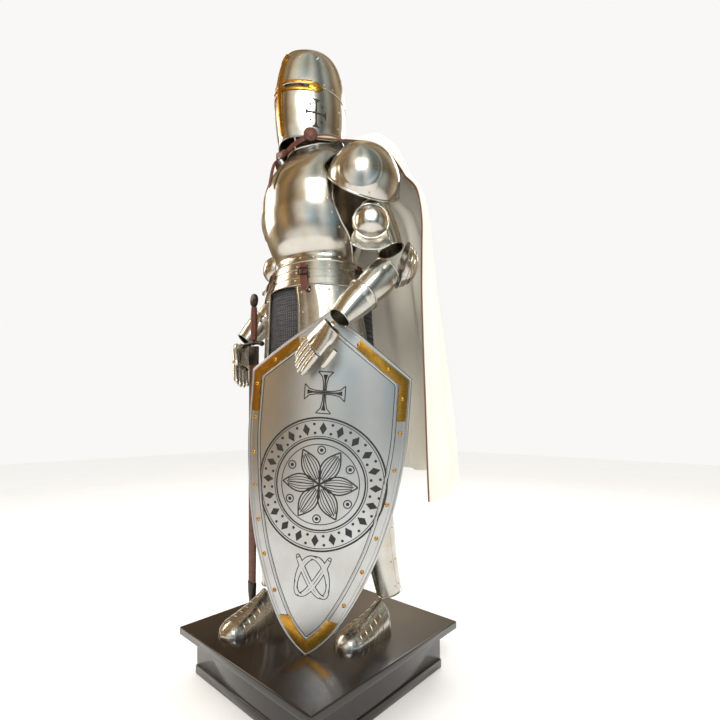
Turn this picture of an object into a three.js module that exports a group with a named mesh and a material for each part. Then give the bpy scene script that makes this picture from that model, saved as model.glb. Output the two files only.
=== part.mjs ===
// A suit of plate armour: great helm, full harness over a mail skirt, white mantle,
// tall shield and sheathed sword, standing on its box.
// Millimetres, +Z up. The figure faces -Y and its left side is +X.
// The origin is the centre of the box's underside.
import * as THREE from 'three';

// ---------------------------------------------------------------- driving dimensions
const STAND_SIDE = 630;
const STAND_HEIGHT = 150;
const BOARD_THICKNESS = 24;
const BOARD_OVERHANG = 35;
const PLATE = 1.6;
const MAIL = 4;
const CLOTH = 3;
const LEATHER = 4;
const BRASS_SHEET = 1.5;
const GAP = 0.3;
const SEAT_GAP = 0.5;

const HELM_AXIS = { x: -20, y: -20 };
const SHIELD_HEIGHT = 957;
const SHIELD_HALF_WIDTH = 232;
const SHIELD_SHOULDER = 790;
const SHIELD_BULGE = 50;
const SHIELD_THICKNESS = 4;
const SHIELD_TURN = 33.5;
const SHIELD_LEAN = 4.4;
const SHIELD_TIP = { x: 107, y: -154 };

const SWORD_TIP = { x: -255, y: -86 };
const SWORD_HILT = { x: -212, y: -107 };
const GUARD_HEIGHT = 910;

// ---------------------------------------------------------------- finishes
const steel = () => new THREE.MeshStandardMaterial({ color: 0xb9bcc0, roughness: 0.3, metalness: 1 });
const brass = () => new THREE.MeshStandardMaterial({ color: 0xb98a3c, roughness: 0.35, metalness: 1 });
const mail = () => new THREE.MeshStandardMaterial({ color: 0x5b5d63, roughness: 0.6, metalness: 0.9 });
const leather = () => new THREE.MeshStandardMaterial({ color: 0x5a2c1c, roughness: 0.6, metalness: 0 });
const cloth = () => new THREE.MeshStandardMaterial({ color: 0xefebdf, roughness: 0.9, metalness: 0 });
const darkSteel = () => new THREE.MeshStandardMaterial({ color: 0x3d3a36, roughness: 0.45, metalness: 0.9 });
const paintedWood = () => new THREE.MeshStandardMaterial({ color: 0x120d0b, roughness: 0.4, metalness: 0 });

// ---------------------------------------------------------------- geometry helpers
const vec = (x, y, z) => new THREE.Vector3(x, y, z);
const radians = THREE.MathUtils.degToRad;
const mix = THREE.MathUtils.lerp;

const figure = new THREE.Group();
figure.position.z = STAND_HEIGHT;
const stand = new THREE.Group();

function addPiece(parent, name, geometry, material) {
  const mesh = new THREE.Mesh(geometry, material);
  mesh.name = name;
  parent.add(mesh);
  return mesh;
}

// Value of a table's column at a place along its key column, by straight-line steps.
function tableValue(table, keyColumn, place, column) {
  const last = table.length - 1;
  if (place <= table[0][keyColumn]) return table[0][column];
  for (let i = 0; i < last; i += 1) {
    const low = table[i];
    const high = table[i + 1];
    if (place <= high[keyColumn]) {
      const t = (place - low[keyColumn]) / (high[keyColumn] - low[keyColumn]);
      return mix(low[column], high[column], t);
    }
  }
  return table[last][column];
}

// A sheet of even thickness from rows of points on its outer face. Coincident points are merged,
// so a row may close to a single point. `wrap` joins the last column to the first, and `keep`
// picks the cells of the grid that are part of the sheet.
function sheet(rows, thickness, { wrap = false, inside = null, keep = () => true } = {}) {
  const outer = [];
  const seen = new Map();
  const indexOf = (p) => {
    const key = `${p.x.toFixed(3)} ${p.y.toFixed(3)} ${p.z.toFixed(3)}`;
    if (!seen.has(key)) {
      seen.set(key, outer.length);
      outer.push(p);
    }
    return seen.get(key);
  };
  let faces = [];
  const columns = rows[0].length;
  const steps = wrap ? columns : columns - 1;
  for (let r = 0; r + 1 < rows.length; r += 1) {
    for (let c = 0; c < steps; c += 1) {
      if (!keep(r, c)) continue;
      const next = (c + 1) % columns;
      const quad = [rows[r][c], rows[r][next], rows[r + 1][next], rows[r + 1][c]].map(indexOf);
      faces.push([quad[0], quad[1], quad[2]], [quad[0], quad[2], quad[3]]);
    }
  }
  faces = faces.filter((face) => new Set(face).size === 3);

  const middle = inside ?? outer.reduce((sum, p) => sum.add(p), vec(0, 0, 0)).divideScalar(outer.length);
  const faceNormal = ([a, b, c]) => outer[b].clone().sub(outer[a]).cross(outer[c].clone().sub(outer[a]));
  const lean = faces.reduce((sum, f) => sum + faceNormal(f).dot(outer[f[0]].clone().sub(middle)), 0);
  if (lean < 0) faces = faces.map(([a, b, c]) => [a, c, b]);

  const normals = outer.map(() => vec(0, 0, 0));
  for (const face of faces) {
    const normal = faceNormal(face);
    face.forEach((corner) => normals[corner].add(normal));
  }
  const count = outer.length;
  const inner = outer.map((p, i) => p.clone().addScaledVector(normals[i].normalize(), -thickness));

  const edges = new Set(faces.flatMap(([a, b, c]) => [`${a}>${b}`, `${b}>${c}`, `${c}>${a}`]));
  const all = [];
  for (const [a, b, c] of faces) {
    all.push(a, b, c, c + count, b + count, a + count);
    for (const [from, to] of [[a, b], [b, c], [c, a]]) {
      if (!edges.has(`${to}>${from}`)) {
        all.push(to, from, from + count, to, from + count, to + count);
      }
    }
  }
  const geometry = new THREE.BufferGeometry();
  geometry.setAttribute('position', new THREE.Float32BufferAttribute([...outer, ...inner].flatMap((p) => p.toArray()), 3));
  geometry.setIndex(all);
  geometry.computeVertexNormals();
  return geometry;
}

// Rows of a tube or trough along a straight limb. Each section row gives its place along the
// limb, its half width along `side`, its half depth along the third direction, and a shift.
function limbRows({ from, to, side, sections, start = 0, end = 360, columns = 16 }) {
  const along = to.clone().sub(from);
  const length = along.length();
  along.normalize();
  const across = side.clone().addScaledVector(along, -side.dot(along)).normalize();
  const depth = along.clone().cross(across);
  const closed = end - start === 360;
  return sections.map(({ at, wide, deep, shift = 0 }) => {
    const row = [];
    for (let c = 0; c < columns; c += 1) {
      const angle = radians(start + ((end - start) * c) / (closed ? columns : columns - 1));
      row.push(from.clone()
        .addScaledVector(along, at * length)
        .addScaledVector(across, wide * Math.cos(angle))
        .addScaledVector(depth, deep * Math.sin(angle) + shift));
    }
    return row;
  });
}

// Rows of a cap on an ellipsoid: from its pole out to `reach` degrees, or from `hole` degrees.
function capRows({ centre, radii, pole, up, reach, hole = 0, rings = 6, columns = 20, start = 0, end = 360 }) {
  const axis = pole.clone().normalize();
  const first = up.clone().addScaledVector(axis, -up.dot(axis)).normalize();
  const second = axis.clone().cross(first);
  const closed = end - start === 360;
  const rows = [];
  for (let r = 0; r <= rings; r += 1) {
    const row = [];
    for (let c = 0; c < columns; c += 1) {
      const turn = radians(start + ((end - start) * c) / (closed ? columns : columns - 1));
      const limit = typeof reach === 'function' ? reach(turn) : reach;
      const tilt = radians(mix(hole, limit, r / rings));
      const direction = axis.clone().multiplyScalar(Math.cos(tilt))
        .addScaledVector(first, Math.sin(tilt) * Math.cos(turn))
        .addScaledVector(second, Math.sin(tilt) * Math.sin(turn));
      row.push(centre.clone().add(direction.multiply(radii)));
    }
    rows.push(row);
  }
  return rows;
}

// ---------------------------------------------------------------- helm
// The helm's section is round, drawn out to a blunt ridge in front.
const HELM_SECTIONS = [
  { z: 1504, radius: 97 },
  { z: 1550, radius: 105 },
  { z: 1620, radius: 110 },
  { z: 1665, radius: 108 },
  { z: 1710, radius: 102 },
  { z: 1752, radius: 92 },
  { z: 1780, radius: 78 },
  { z: 1796, radius: 56 },
  { z: 1804, radius: 30 },
  { z: 1806, radius: 0 },
];
const HELM_BOTTOM = 1504;
const HELM_TOP = 1806;
const HELM_RIDGE = 0.14;
const SLIT_HEIGHT = 10;
const SLIT_REACH = 50;
const CROSS_LIFT = BRASS_SHEET + 1.2;

// The brow line, the lower edge of the skull's overlap, is highest at the ridge.
const browLine = (angle) => 1636 + 12 * Math.cos(angle);

function helmPoint(z, angle, lift = 0) {
  const radius = tableValue(HELM_SECTIONS, 'z', z, 'radius') + lift;
  const ridge = radius * HELM_RIDGE * Math.max(0, Math.cos(angle)) ** 6;
  return vec(HELM_AXIS.x + radius * Math.sin(angle), HELM_AXIS.y - (radius + ridge) * Math.cos(angle), z);
}

function helmRows(heightAt, levels, angles, lift = 0) {
  return levels.map((level) => angles.map((degrees) => {
    const angle = radians(degrees);
    return helmPoint(heightAt(level, angle), angle, lift);
  }));
}

const spacedAngles = (from, to, count) => Array.from({ length: count }, (_, i) => mix(from, to, i / (count - 1)));

function buildHelm() {
  const overlap = (angle) => (Math.abs(angle) > radians(SLIT_REACH) ? 0 : SLIT_HEIGHT);
  const skullLevels = [0, 0.25, 0.5, 0.7, 0.84, 0.93, 0.98, 1];
  const skullHeight = (level, angle) => mix(browLine(angle) + SLIT_HEIGHT, HELM_TOP, level);
  const around = spacedAngles(-180, 165, 24);
  addPiece(figure, 'helm_skull', sheet(helmRows(skullHeight, skullLevels, around), PLATE, { wrap: true }), steel());

  const lowerLevels = [0, 0.3, 0.65, 1];
  const lowerTop = (angle) => browLine(angle) + SLIT_HEIGHT - GAP - 0.2;
  const faceHeight = (level, angle) => mix(HELM_BOTTOM, lowerTop(angle) - overlap(angle), level);
  const napeHeight = (level, angle) => mix(HELM_BOTTOM, lowerTop(angle), level);
  addPiece(figure, 'helm_face', sheet(helmRows(faceHeight, lowerLevels, spacedAngles(-100, 100, 17)), PLATE), steel());
  addPiece(figure, 'helm_nape', sheet(helmRows(napeHeight, lowerLevels, spacedAngles(101, 259, 12)), PLATE), steel());

  // Brass cross: an upright along the ridge, and an arm each way just above the eye slit.
  const crossHeights = [-122, -60, -4, 16, 32, 70, 104, 124];
  const crossAngles = [-60, -45, -30, -16, -8, 0, 8, 16, 30, 45, 60];
  const crossHeight = (height, angle) => browLine(angle) + height;
  const keep = (row, column) => row === 3 || column === 4 || column === 5;
  const rows = helmRows(crossHeight, crossHeights, crossAngles, CROSS_LIFT);
  addPiece(figure, 'helm_cross', sheet(rows, BRASS_SHEET, { keep }), brass());
}

// ---------------------------------------------------------------- cuirass
// Sections of the breastplate and backplate. `reach` is how far round from the middle the edge
// runs, in degrees: it steps in at the armholes.
const BREAST_SECTIONS = [
  { z: 1122, half: 152, depth: 131, reach: 89, rise: 0 },
  { z: 1142, half: 146, depth: 124, reach: 89, rise: 0 },
  { z: 1185, half: 158, depth: 152, reach: 82, rise: 0 },
  { z: 1235, half: 170, depth: 173, reach: 68, rise: 0 },
  { z: 1285, half: 175, depth: 181, reach: 61, rise: 0 },
  { z: 1330, half: 174, depth: 180, reach: 60, rise: 4 },
  { z: 1375, half: 160, depth: 170, reach: 53, rise: 8 },
  { z: 1405, half: 146, depth: 154, reach: 60, rise: 18 },
  { z: 1432, half: 128, depth: 134, reach: 80, rise: 30 },
  { z: 1456, half: 104, depth: 118, reach: 89, rise: 30 },
  { z: 1474, half: 92, depth: 108, reach: 89, rise: 22 },
];
const BACK_SECTIONS = [
  { z: 1122, half: 152, depth: 100, reach: 89, rise: 0 },
  { z: 1142, half: 146, depth: 96, reach: 89, rise: 0 },
  { z: 1185, half: 158, depth: 108, reach: 82, rise: 0 },
  { z: 1235, half: 170, depth: 126, reach: 64, rise: 0 },
  { z: 1285, half: 175, depth: 138, reach: 58, rise: 0 },
  { z: 1330, half: 174, depth: 140, reach: 56, rise: 4 },
  { z: 1375, half: 160, depth: 134, reach: 55, rise: 8 },
  { z: 1405, half: 150, depth: 124, reach: 68, rise: 20 },
  { z: 1432, half: 128, depth: 112, reach: 80, rise: 26 },
  { z: 1456, half: 104, depth: 102, reach: 89, rise: 26 },
  { z: 1474, half: 92, depth: 94, reach: 89, rise: 20 },
];

// `facing` is -1 for the front and +1 for the back.
function torsoRows(sections, facing, columns) {
  return sections.map(({ z, half, depth, reach, rise }) => {
    const row = [];
    for (let c = 0; c < columns; c += 1) {
      const angle = radians(mix(-reach, reach, c / (columns - 1)));
      const side = Math.abs(Math.sin(angle));
      row.push(vec(half * Math.sin(angle), facing * depth * Math.cos(angle), z + rise * side ** 3));
    }
    return row;
  });
}

const FAULD_SECTIONS = [
  { z: 1044, half: 178, depth: 156 },
  { z: 1080, half: 169, depth: 147 },
  { z: 1118, half: 158, depth: 137 },
];

function ringRows(sections, columns, shiftY = 0) {
  return sections.map(({ z, half, depth }) => {
    const row = [];
    for (let c = 0; c < columns; c += 1) {
      const angle = (2 * Math.PI * c) / columns;
      row.push(vec(half * Math.sin(angle), shiftY - depth * Math.cos(angle), z));
    }
    return row;
  });
}

// Mail skirt below the fauld, inside the tassets.
const MAIL_SECTIONS = [
  { z: 1040, half: 168, depth: 144 },
  { z: 960, half: 175, depth: 146 },
  { z: 870, half: 183, depth: 147 },
  { z: 780, half: 191, depth: 148 },
  { z: 690, half: 198, depth: 149 },
];

const TASSET_SECTIONS = [
  { z: 1042, half: 180, depth: 157, inner: 20, outer: 82 },
  { z: 980, half: 184, depth: 157, inner: 22, outer: 88 },
  { z: 900, half: 192, depth: 158, inner: 22, outer: 92 },
  { z: 810, half: 200, depth: 160, inner: 23, outer: 94 },
  { z: 740, half: 205, depth: 161, inner: 29, outer: 86 },
  { z: 715, half: 207, depth: 162, inner: 40, outer: 74 },
];

// `hand` is +1 on the figure's left and -1 on its right.
function tassetRows(hand, columns) {
  return TASSET_SECTIONS.map(({ z, half, depth, inner, outer }) => {
    const row = [];
    for (let c = 0; c < columns; c += 1) {
      const angle = radians(mix(inner, outer, c / (columns - 1)));
      const crease = 4 * Math.max(0, 1 - Math.abs(c / (columns - 1) - 0.3) * 6);
      row.push(vec(hand * (half + crease) * Math.sin(angle), -(depth + crease) * Math.cos(angle), z));
    }
    return row;
  });
}

// The strap over the fauld that carries the left tasset.
const TASSET_STRAP = [
  { z: 1098, angle: 26, half: 172, depth: 150 },
  { z: 1064, angle: 28, half: 182, depth: 161 },
  { z: 1030, angle: 31, half: 192, depth: 169 },
];

function buildBody() {
  addPiece(figure, 'breastplate', sheet(torsoRows(BREAST_SECTIONS, -1, 15), PLATE), steel());
  addPiece(figure, 'backplate', sheet(torsoRows(BACK_SECTIONS, 1, 13), PLATE), steel());
  addPiece(figure, 'fauld', sheet(ringRows(FAULD_SECTIONS, 28), PLATE, { wrap: true }), steel());
  addPiece(figure, 'mail_skirt', sheet(ringRows(MAIL_SECTIONS, 28), MAIL, { wrap: true }), mail());
  addPiece(figure, 'tasset_left', sheet(tassetRows(1, 11), PLATE), steel());
  addPiece(figure, 'tasset_right', sheet(tassetRows(-1, 11), PLATE), steel());
  const strap = TASSET_STRAP.map(({ z, angle, half, depth }) => [-1, 0, 1].map((side) => {
    const turn = radians(angle + side * 3.6);
    return vec(half * Math.sin(turn), -depth * Math.cos(turn), z);
  }));
  addPiece(figure, 'tasset_strap', sheet(strap, LEATHER, { inside: vec(0, 0, 1060) }), leather());
}

// ---------------------------------------------------------------- arms
const LEFT_ARM = {
  name: 'left',
  hand: 1,
  shoulder: vec(188, -22, 1390),
  elbow: vec(292, 20, 1095),
  wrist: vec(221, -142, 918),
  tip: vec(100, -189, 797),
  back: vec(0.19, -0.913, 0.362),
  wingFacing: vec(0.6756, -0.7373, 0.1),
  wingCentre: vec(266, -55, 1195),
  pauldronCentre: vec(201, -12, 1336),
  pauldronInner: 6,
};
const RIGHT_ARM = {
  name: 'right',
  hand: -1,
  shoulder: vec(-176, 18, 1390),
  elbow: vec(-224, 62, 1110),
  wrist: vec(-294, -98, 925),
  tip: vec(-262, -130, 765),
  back: vec(-0.9, -0.42, -0.13),
  wingFacing: vec(-0.45, -0.88, 0.1),
  wingCentre: vec(-236, -6, 1190),
  pauldronCentre: vec(-173, 26, 1342),
  pauldronInner: 32,
};

const PAULDRON_RADII = vec(103, 108, 110);

function buildPauldron(arm) {
  const pole = vec(arm.hand * 0.55, -0.08, 0.83);
  const reach = (turn) => {
    const out = Math.cos(turn);
    const front = -arm.hand * Math.sin(turn);
    return 90 + (out > 0 ? 8 : arm.pauldronInner) * out + 12 * front;
  };
  const rows = capRows({
    centre: arm.pauldronCentre, radii: PAULDRON_RADII, pole, up: vec(arm.hand, 0, -0.6), reach, rings: 5, columns: 18,
  });
  addPiece(figure, `pauldron_${arm.name}`, sheet(rows, PLATE, { wrap: true }), steel());
}

// The wing in front of the elbow: a dome with a fan below it. Each ring has its radius and its
// height off the base plane, and how far both grow where the fan is.
const WING_RINGS = [
  { radius: 0, height: 38, fan: 0, flare: 0 },
  { radius: 17, height: 36, fan: 0, flare: 0 },
  { radius: 31, height: 28, fan: 0, flare: 0 },
  { radius: 42, height: 15, fan: 0, flare: 0 },
  { radius: 47, height: 4, fan: 0, flare: 0 },
  { radius: 49, height: 3, fan: 16, flare: 6 },
  { radius: 49, height: 3, fan: 42, flare: 22 },
];
const WING_FAN_INNER = 32;
const WING_FAN_OUTER = 62;

function wingRows(arm, columns = 20) {
  const axis = arm.wingFacing.clone().normalize();
  const up = vec(0, 0, 1).addScaledVector(axis, -axis.z).normalize();
  const side = axis.clone().cross(up);
  return WING_RINGS.map(({ radius, height, fan, flare }) => {
    const row = [];
    for (let c = 0; c < columns; c += 1) {
      const turn = mix(0, 360, c / columns);
      const fromDown = Math.abs(turn - 180);
      const share = THREE.MathUtils.clamp((WING_FAN_OUTER - fromDown) / (WING_FAN_OUTER - WING_FAN_INNER), 0, 1);
      const reach = radius + fan * share;
      row.push(arm.wingCentre.clone()
        .addScaledVector(up, reach * Math.cos(radians(turn)))
        .addScaledVector(side, reach * Math.sin(radians(turn)))
        .addScaledVector(axis, height + flare * share));
    }
    return row;
  });
}

const REREBRACE_SECTIONS = [
  { at: 0.42, wide: 42, deep: 43 },
  { at: 0.62, wide: 42, deep: 42 },
  { at: 0.87, wide: 37, deep: 37 },
];
const VAMBRACE_SECTIONS = [
  { at: 0.16, wide: 42, deep: 42 },
  { at: 0.32, wide: 45, deep: 45 },
  { at: 0.66, wide: 37, deep: 36 },
];
const CUFF_SECTIONS = [
  { at: 0.56, wide: 45, deep: 44 },
  { at: 0.8, wide: 40, deep: 37 },
  { at: 0.95, wide: 36, deep: 29 },
];
const HAND_SECTIONS = [
  { at: 0.11, wide: 35, deep: 24 },
  { at: 0.28, wide: 42, deep: 19 },
  { at: 0.52, wide: 43, deep: 15 },
];
const HAND_KNUCKLE = 0.54;
const FINGERS = [
  { name: 'index', across: 31, length: 0.42, radius: 9.5 },
  { name: 'middle', across: 10.5, length: 0.46, radius: 9.8 },
  { name: 'ring', across: -10.5, length: 0.43, radius: 9.5 },
  { name: 'little', across: -31, length: 0.36, radius: 9 },
];

// A finger or thumb: a closed-ended tube along hand-placed centres.
function fingerRows(centres, radius, side, columns = 6) {
  return centres.map(({ point, size }) => {
    const along = centres[centres.length - 1].point.clone().sub(centres[0].point).normalize();
    const across = side.clone().addScaledVector(along, -side.dot(along)).normalize();
    const depth = along.clone().cross(across);
    const row = [];
    for (let c = 0; c < columns; c += 1) {
      const angle = (2 * Math.PI * c) / columns;
      row.push(point.clone()
        .addScaledVector(across, radius * size * Math.cos(angle))
        .addScaledVector(depth, radius * size * Math.sin(angle)));
    }
    return row;
  });
}

function buildHand(arm) {
  const along = arm.tip.clone().sub(arm.wrist);
  const reach = along.length();
  along.normalize();
  const back = arm.back.clone().addScaledVector(along, -arm.back.dot(along)).normalize();
  const thumbSide = back.clone().cross(along);
  const rows = limbRows({ from: arm.wrist, to: arm.tip, side: thumbSide, sections: HAND_SECTIONS, columns: 14 });
  addPiece(figure, `gauntlet_hand_${arm.name}`, sheet(rows, PLATE, { wrap: true }), steel());

  for (const { name, across, length, radius } of FINGERS) {
    const root = arm.wrist.clone()
      .addScaledVector(along, reach * HAND_KNUCKLE + 2)
      .addScaledVector(thumbSide, across);
    const centres = [0, 0.3, 0.6, 0.86, 1].map((t, i) => ({
      point: root.clone()
        .addScaledVector(along, reach * length * t)
        .addScaledVector(back, -10 * t * t),
      size: [1, 0.98, 0.92, 0.8, 0][i],
    }));
    addPiece(figure, `finger_${name}_${arm.name}`, sheet(fingerRows(centres, radius, thumbSide), 1.2, { wrap: true }), steel());
  }
  const thumbRoot = arm.wrist.clone()
    .addScaledVector(along, reach * 0.3)
    .addScaledVector(thumbSide, 56)
    .addScaledVector(back, -12);
  const thumb = [0, 0.35, 0.7, 0.88, 1].map((t, i) => ({
    point: thumbRoot.clone()
      .addScaledVector(along, reach * 0.36 * t)
      .addScaledVector(back, -10 * t),
    size: [1, 1, 0.92, 0.75, 0][i],
  }));
  addPiece(figure, `thumb_${arm.name}`, sheet(fingerRows(thumb, 10.5, thumbSide), 1.2, { wrap: true }), steel());
}

function buildArm(arm) {
  buildPauldron(arm);
  const side = vec(arm.hand, 0, 0);
  const upper = { from: arm.shoulder, to: arm.elbow, side };
  const lower = { from: arm.elbow, to: arm.wrist, side };
  const rerebrace = limbRows({ ...upper, sections: REREBRACE_SECTIONS, columns: 14 });
  addPiece(figure, `rerebrace_${arm.name}`, sheet(rerebrace, PLATE, { wrap: true }), steel());
  addPiece(figure, `couter_wing_${arm.name}`, sheet(wingRows(arm), PLATE, { wrap: true }), steel());
  // The cup covers the point of the elbow, away from both limbs.
  const toShoulder = arm.shoulder.clone().sub(arm.elbow).normalize();
  const toWrist = arm.wrist.clone().sub(arm.elbow).normalize();
  const elbowPoint = toShoulder.add(toWrist).negate();
  const cup = capRows({
    centre: arm.elbow, radii: vec(62, 63, 64), pole: elbowPoint, up: vec(0, 0, 1), reach: 72, rings: 5, columns: 16,
  });
  addPiece(figure, `couter_${arm.name}`, sheet(cup, PLATE, { wrap: true }), steel());
  const vambrace = limbRows({ ...lower, sections: VAMBRACE_SECTIONS, columns: 14 });
  addPiece(figure, `vambrace_${arm.name}`, sheet(vambrace, PLATE, { wrap: true }), steel());
  const cuff = limbRows({ ...lower, sections: CUFF_SECTIONS, columns: 14 });
  addPiece(figure, `gauntlet_cuff_${arm.name}`, sheet(cuff, PLATE, { wrap: true }), steel());
  buildHand(arm);
}

// ---------------------------------------------------------------- legs
const LEGS = [
  { name: 'left', hip: vec(78, 5, 880), knee: vec(148, 50, 490), ankle: vec(177, 140, 95), heel: vec(184, 192, 0), toe: vec(160, -80, 0) },
  { name: 'right', hip: vec(-78, 5, 880), knee: vec(-132, -75, 490), ankle: vec(-158, -62, 95), heel: vec(-166, -8, 0), toe: vec(-140, -272, 0) },
];
const CUISSE_SECTIONS = [
  { at: 0, wide: 68, deep: 74 },
  { at: 0.4, wide: 65, deep: 71 },
  { at: 0.78, wide: 60, deep: 64 },
  { at: 0.87, wide: 56, deep: 58 },
];
const GREAVE_SECTIONS = [
  { at: 0.13, wide: 53, deep: 55 },
  { at: 0.35, wide: 56, deep: 62 },
  { at: 0.7, wide: 44, deep: 47 },
  { at: 0.95, wide: 38, deep: 42 },
];
// Foot sections from heel to toe: place along the foot, half width and height.
const FOOT_SECTIONS = [
  { at: 0.36, half: 43, height: 96 },
  { at: 0.5, half: 46, height: 76 },
  { at: 0.65, half: 50, height: 60 },
  { at: 0.8, half: 50, height: 48 },
  { at: 0.91, half: 40, height: 36 },
  { at: 0.975, half: 22, height: 22 },
  { at: 1, half: 0, height: 12 },
];

function footRows(leg, sections, columns) {
  const along = leg.toe.clone().sub(leg.heel);
  const length = along.length();
  along.normalize();
  const across = vec(-along.y, along.x, 0);
  return sections.map(({ at, half, height }) => {
    const row = [];
    for (let c = 0; c < columns; c += 1) {
      const angle = radians(mix(0, 180, c / (columns - 1)));
      const centre = leg.heel.clone().addScaledVector(along, length * at);
      row.push(centre.addScaledVector(across, half * Math.cos(angle))
        .add(vec(0, 0, half === 0 ? height : SEAT_GAP + height * Math.sin(angle) ** 0.8)));
    }
    return row;
  });
}

function buildLeg(leg) {
  const side = vec(1, 0, 0);
  const cuisse = limbRows({ from: leg.hip, to: leg.knee, side, sections: CUISSE_SECTIONS, columns: 14 });
  addPiece(figure, `cuisse_${leg.name}`, sheet(cuisse, PLATE, { wrap: true }), steel());
  const poleyn = capRows({
    centre: leg.knee, radii: vec(68, 76, 70), pole: vec(0, -1, 0), up: vec(0, 0, 1), reach: 88, rings: 4, columns: 16,
  });
  addPiece(figure, `poleyn_${leg.name}`, sheet(poleyn, PLATE, { wrap: true }), steel());
  const greave = limbRows({ from: leg.knee, to: leg.ankle, side, sections: GREAVE_SECTIONS, columns: 14 });
  addPiece(figure, `greave_${leg.name}`, sheet(greave, PLATE, { wrap: true }), steel());
  addPiece(figure, `sabaton_${leg.name}`, sheet(footRows(leg, FOOT_SECTIONS, 11), PLATE), steel());
}

// ---------------------------------------------------------------- mantle
// Rows from the collar to the hem. `edge` is the front edge on the left side (mirrored on the
// right about `mid`), `back` the middle of the back, `square` how boxed the row is, `puff` how
// far the cloth stands up over the shoulder, and `fold` the depth of its folds.
const MANTLE_ROWS = [
  { edge: [63, -90, 1500], back: [-20, 108, 1546], mid: -20, square: 0.6, puff: 0, fold: 0, neck: 1 },
  { edge: [112, -56, 1487], back: [-15, 130, 1540], mid: -8, square: 0.7, puff: 16, fold: 0, neck: 0.25 },
  { edge: [174, -26, 1468], back: [-5, 150, 1510], mid: 0, square: 0.85, puff: 40, fold: 1, neck: 0 },
  { edge: [211, 2, 1460], back: [0, 166, 1466], mid: 0, square: 0.85, puff: 58, fold: 2, neck: 0 },
  { edge: [236, 46, 1444], back: [0, 178, 1410], mid: 0, square: 0.8, puff: 60, fold: 3, neck: 0 },
  { edge: [260, 100, 1390], back: [0, 186, 1350], mid: 0, square: 0.7, puff: 42, fold: 4, neck: 0 },
  { edge: [310, 98, 1322], back: [0, 192, 1290], mid: 0, square: 0.6, puff: 16, fold: 5, neck: 0 },
  { edge: [332, 90, 1200], back: [0, 204, 1190], mid: 0, square: 0.55, puff: 0, fold: 8, neck: 0 },
  { edge: [332, 88, 1050], back: [0, 236, 1050], mid: 0, square: 0.55, puff: 0, fold: 12, neck: 0 },
  { edge: [334, 92, 890], back: [0, 280, 890], mid: 0, square: 0.55, puff: 0, fold: 15, neck: 0 },
  { edge: [336, 100, 720], back: [0, 326, 720], mid: 0, square: 0.55, puff: 0, fold: 18, neck: 0 },
  { edge: [337, 108, 560], back: [0, 362, 570], mid: 0, square: 0.55, puff: 0, fold: 20, neck: 0 },
  { edge: [338, 116, 420], back: [0, 384, 478], mid: 0, square: 0.55, puff: 0, fold: 22, neck: 0 },
];
const COLLAR_RADIUS = 108;
// The fastening bosses, in degrees round the neck from the front: the right one sits further back.
const BOSS_ANGLE = 48;
const RIGHT_BOSS_ANGLE = -72;
const BOSS_THICKNESS = 8;
const STRAP_WIDTH = 16;
// The strap's loose end hangs from below the middle boss down the breastplate.
const STRAP_END = [
  { x: -16, y: -138, z: 1448 },
  { x: -15, y: -160, z: 1425 },
  { x: -13, y: -174, z: 1395 },
  { x: -12, y: -184, z: 1355 },
  { x: -12, y: -187, z: 1335 },
];
const MANTLE_COLUMNS = 37;
const MANTLE_FOLD_TURNS = 9;

function mantleRows() {
  return MANTLE_ROWS.map(({ edge, back, mid, square, puff, fold, neck }) => {
    const row = [];
    for (let c = 0; c < MANTLE_COLUMNS; c += 1) {
      const turn = mix(-90, 90, c / (MANTLE_COLUMNS - 1));
      const sine = Math.sin(radians(turn));
      const cosine = Math.max(0, Math.cos(radians(turn)));
      const spread = Math.sign(sine) * Math.abs(sine) ** square;
      const depth = cosine ** square;
      const ripple = fold * Math.cos(radians(turn) * 2 * MANTLE_FOLD_TURNS) * Math.min(1, 4 * cosine);
      const centre = mix(mid, back[0], cosine);
      const point = vec(
        centre + (edge[0] - mid) * spread + ripple * sine,
        mix(edge[1], back[1], depth) + ripple * cosine,
        mix(edge[2], back[2], cosine) + puff * Math.sin(Math.PI * Math.min(1, cosine * 1.35)),
      );
      const round = radians(turn < 0 ? mix(-180, RIGHT_BOSS_ANGLE, -turn / 90) : mix(180, BOSS_ANGLE, turn / 90));
      const collar = vec(
        HELM_AXIS.x + COLLAR_RADIUS * Math.sin(round),
        HELM_AXIS.y - COLLAR_RADIUS * Math.cos(round),
        point.z,
      );
      row.push(point.lerp(collar, neck));
    }
    return row;
  });
}

// Points on the neck strap's line: `angle` is measured round the helm from its ridge.
function neckPoint(angle, lift, rise = 0) {
  const share = Math.min(1, Math.abs(angle) / BOSS_ANGLE);
  const radius = mix(104, COLLAR_RADIUS + 2, share) + lift;
  const turn = radians(angle);
  return vec(HELM_AXIS.x + radius * Math.sin(turn), HELM_AXIS.y - radius * Math.cos(turn), mix(1464, 1500, share) + rise);
}

function addBoss(name, angle, radius, lift) {
  const boss = new THREE.CylinderGeometry(radius * 0.75, radius, BOSS_THICKNESS, 16);
  boss.translate(0, BOSS_THICKNESS / 2, 0);
  const mesh = addPiece(figure, name, boss, leather());
  mesh.position.copy(neckPoint(angle, lift));
  mesh.quaternion.setFromUnitVectors(vec(0, 1, 0), vec(Math.sin(radians(angle)), -Math.cos(radians(angle)), 0));
}

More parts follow.
